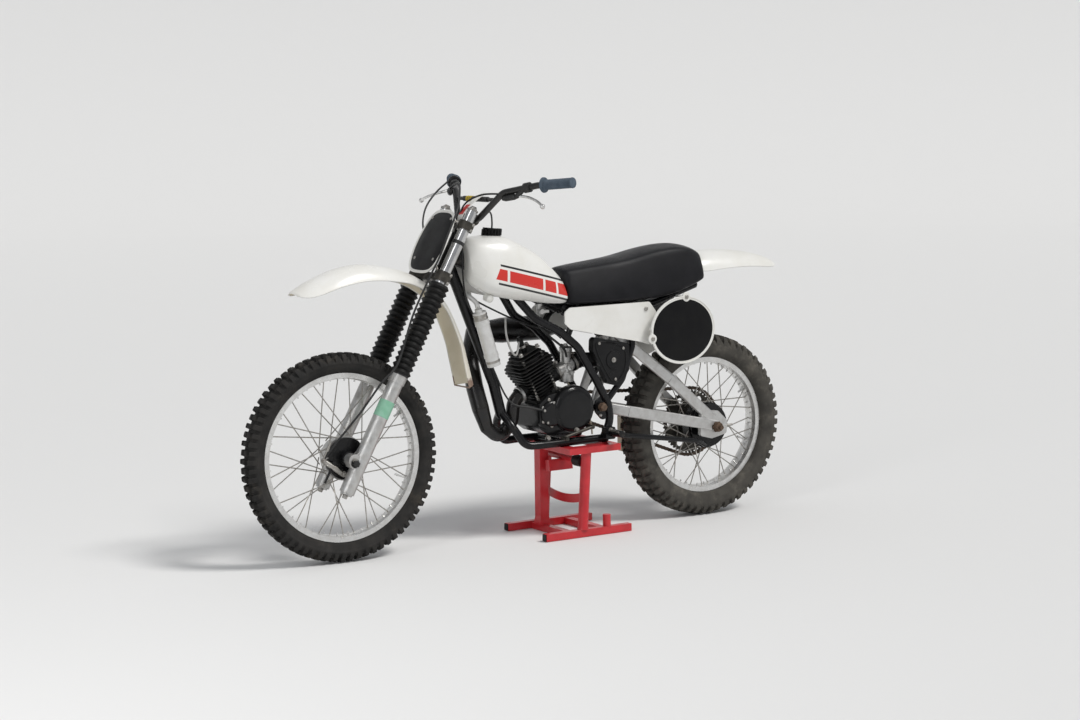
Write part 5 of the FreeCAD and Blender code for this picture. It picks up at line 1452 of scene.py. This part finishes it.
def build_stand():
    """The stand's posts, braces, link and end plugs, in place of the plain base."""
    body = Pile()
    plugs = Pile()
    for side in (-1, 1):
        y = side * STAND_HALF_WIDTH
        body.box(at(572, y, 14), SKID_SIZE)
        plugs.box(at(749, y, 14), (4, 23, 23), taper=0.1)
        foot, top = (at(x, y, z) for x, z in COLUMN)
        body.lathe(foot, top - foot, [(0, 20.5), (8, 18), ((top - foot).length * 1000, 18)], 28)
    arch = []
    for k in range(13):
        y = ARCH_HALF * (k / 6 - 1)
        arch.append(at(COLUMN[0][0], y, ARCH_Z + ARCH_RISE * y * y))
    for a, b in zip(arch, arch[1:]):
        body.box((a + b) / 2, ((b - a).length * 1080, 6, 30), b - a, (b - a).cross(UP))
    for x in CROSS_BARS_X:
        body.box(at(x, 0, 12), (28, 250, 23))
    body.box(at(POST_X, POST_Y, 160), (34, 38, 272))
    body.lathe(at(POST_X, POST_Y, 22), UP, [(0, 30), (4, 30), (40, 22)], 4, 0.5)
    body.lathe(at(492, STAND_HALF_WIDTH, 26), UP, [(0, 14), (42, 14), (43, 13)], 24)
    body.box(at(596, -16, 236), (26, 96, 40), Vector((0, 1, 0.16)), FORWARD)
    body.rod(at(580, -118, STAND_LINK_Z), ACROSS, 236, 11, 18)
    plugs.rod(at(584, 74, STAND_LINK_Z), ACROSS, 44, 20, 20)
    obj = body.done("stand_posts", "stand", "chassis")
    bevel = obj.modifiers.new("edges", "BEVEL")
    bevel.width = 0.0018
    bevel.segments = 2
    bevel.limit_method = "ANGLE"
    plugs.done("stand_plugs", "rubber", "chassis")
    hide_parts("stand_base")


build_levers()
build_fenders()
build_wheel_trim()
build_fork_trim()
build_side_trim()
build_stand()
build_grips()
build_bar_trim()
build_brake_cable()
build_steered_cables()
build_hoses()
build_engine_fasteners()
build_plug_cap()
build_cover_crown()
build_carburettor_details()
build_hose_clamps()
build_petcock()
build_port_collar()


# Floor, light and camera

CAMERA_PLACE = (4.7452, 7.6140, 1.7482)
CAMERA_YAW = math.radians(-32.288)
CAMERA_PITCH = math.radians(7.196)
CAMERA_ROLL = math.radians(-0.842)
CAMERA_LENS = 87.6
CAMERA_SENSOR = 36
CAMERA_REACH = 100

# The floor in metres: half its width, how far it runs forward and back, and the backdrop's curve and height
FLOOR_SIDE = 70
FLOOR_FRONT = -70
FLOOR_BACK = 14
BEND = 8
BEND_STEPS = 32
BACKDROP_TOP = 24
# How far the floor lies under the ground's height
FLOOR_UNDER = 0.0005


def build_stage():
    """A plain pale floor that runs up into a backdrop far behind."""
    back = Vector((math.sin(CAMERA_YAW), -math.cos(CAMERA_YAW), 0))
    side = Vector((math.cos(CAMERA_YAW), math.sin(CAMERA_YAW), 0))
    line = [Vector((FLOOR_FRONT, 0, 0)), Vector((FLOOR_BACK, 0, 0))]
    for k in range(1, BEND_STEPS + 1):
        turn = math.pi / 2 * k / BEND_STEPS
        line.append(Vector((FLOOR_BACK + BEND * math.sin(turn), 0, BEND - BEND * math.cos(turn))))
    line.append(Vector((FLOOR_BACK + BEND, 0, BACKDROP_TOP)))
    verts = []
    for place in line:
        for s in (-1, 1):
            verts.append(back * place.x + side * (s * FLOOR_SIDE) + UP * (place.z - FLOOR_UNDER))
    faces = [(2 * i, 2 * i + 1, 2 * i + 3, 2 * i + 2) for i in range(len(line) - 1)]
    floor = make("floor", verts, faces, None)
    material = bpy.data.materials.new("floor_finish")
    material.use_nodes = True
    sockets = material.node_tree.nodes["Principled BSDF"].inputs
    for name, value in (("Base Color", (0.78, 0.78, 0.775, 1)), ("Roughness", 0.9),
                        ("Specular IOR Level", 0.1)):
        sockets[name].default_value = value
    floor.data.materials.append(material)


def add_light(name, kind, strength, place, way):
    light = bpy.data.lights.new(name, kind)
    light.energy = strength
    obj = bpy.data.objects.new(name, light)
    bpy.context.scene.collection.objects.link(obj)
    obj.matrix_world = Matrix.Translation(place) @ way.to_track_quat("-Z", "Y").to_matrix().to_4x4()
    return light


SKY_COLOUR = (0.94, 0.96, 1, 1)
SKY_STRENGTH = 0.42
SUN_STRENGTH = 2
SUN_WIDTH = math.radians(16)
SUN_COLOUR = (1, 0.985, 0.96)
SUN_WAY = (0.45, -0.62, -1)
STRIP_WATTS = 26
STRIP_SIZE = (0.8, 2.6)
STRIP_PLACE = (3.4, 2, 2.6)
STRIP_AIM = (0.1, 0, 0.6)


def build_light():
    world = bpy.data.worlds.new("studio")
    bpy.context.scene.world = world
    world.use_nodes = True
    background = world.node_tree.nodes["Background"].inputs
    background["Color"].default_value = SKY_COLOUR
    background["Strength"].default_value = SKY_STRENGTH
    sun = add_light("key", "SUN", SUN_STRENGTH, (0, 0, 0), Vector(SUN_WAY))
    sun.angle = SUN_WIDTH
    sun.color = SUN_COLOUR
    strip = add_light("strip", "AREA", STRIP_WATTS, STRIP_PLACE, Vector(STRIP_AIM) - Vector(STRIP_PLACE))
    strip.shape = "RECTANGLE"
    strip.size, strip.size_y = STRIP_SIZE


def build_camera():
    """The photograph's view, found by fitting its straight edges and the wheel rims."""
    level = Vector((math.sin(CAMERA_YAW), -math.cos(CAMERA_YAW), 0))
    look = level * math.cos(CAMERA_PITCH) - UP * math.sin(CAMERA_PITCH)
    right = look.cross(UP).normalized()
    up = right.cross(look)
    side = right * math.cos(CAMERA_ROLL) + up * math.sin(CAMERA_ROLL)
    rise = up * math.cos(CAMERA_ROLL) - right * math.sin(CAMERA_ROLL)
    camera = bpy.data.objects.new("camera", bpy.data.cameras.new("camera"))
    bpy.context.scene.collection.objects.link(camera)
    place = Vector(CAMERA_PLACE)
    camera.matrix_world = Matrix((
        (side.x, rise.x, -look.x, place.x),
        (side.y, rise.y, -look.y, place.y),
        (side.z, rise.z, -look.z, place.z),
        (0, 0, 0, 1),
    ))
    camera.data.sensor_width = CAMERA_SENSOR
    camera.data.lens = CAMERA_LENS
    camera.data.clip_end = CAMERA_REACH
    bpy.context.scene.camera = camera


build_stage()
build_light()
build_camera()
bpy.context.scene.view_settings.view_transform = "Standard"
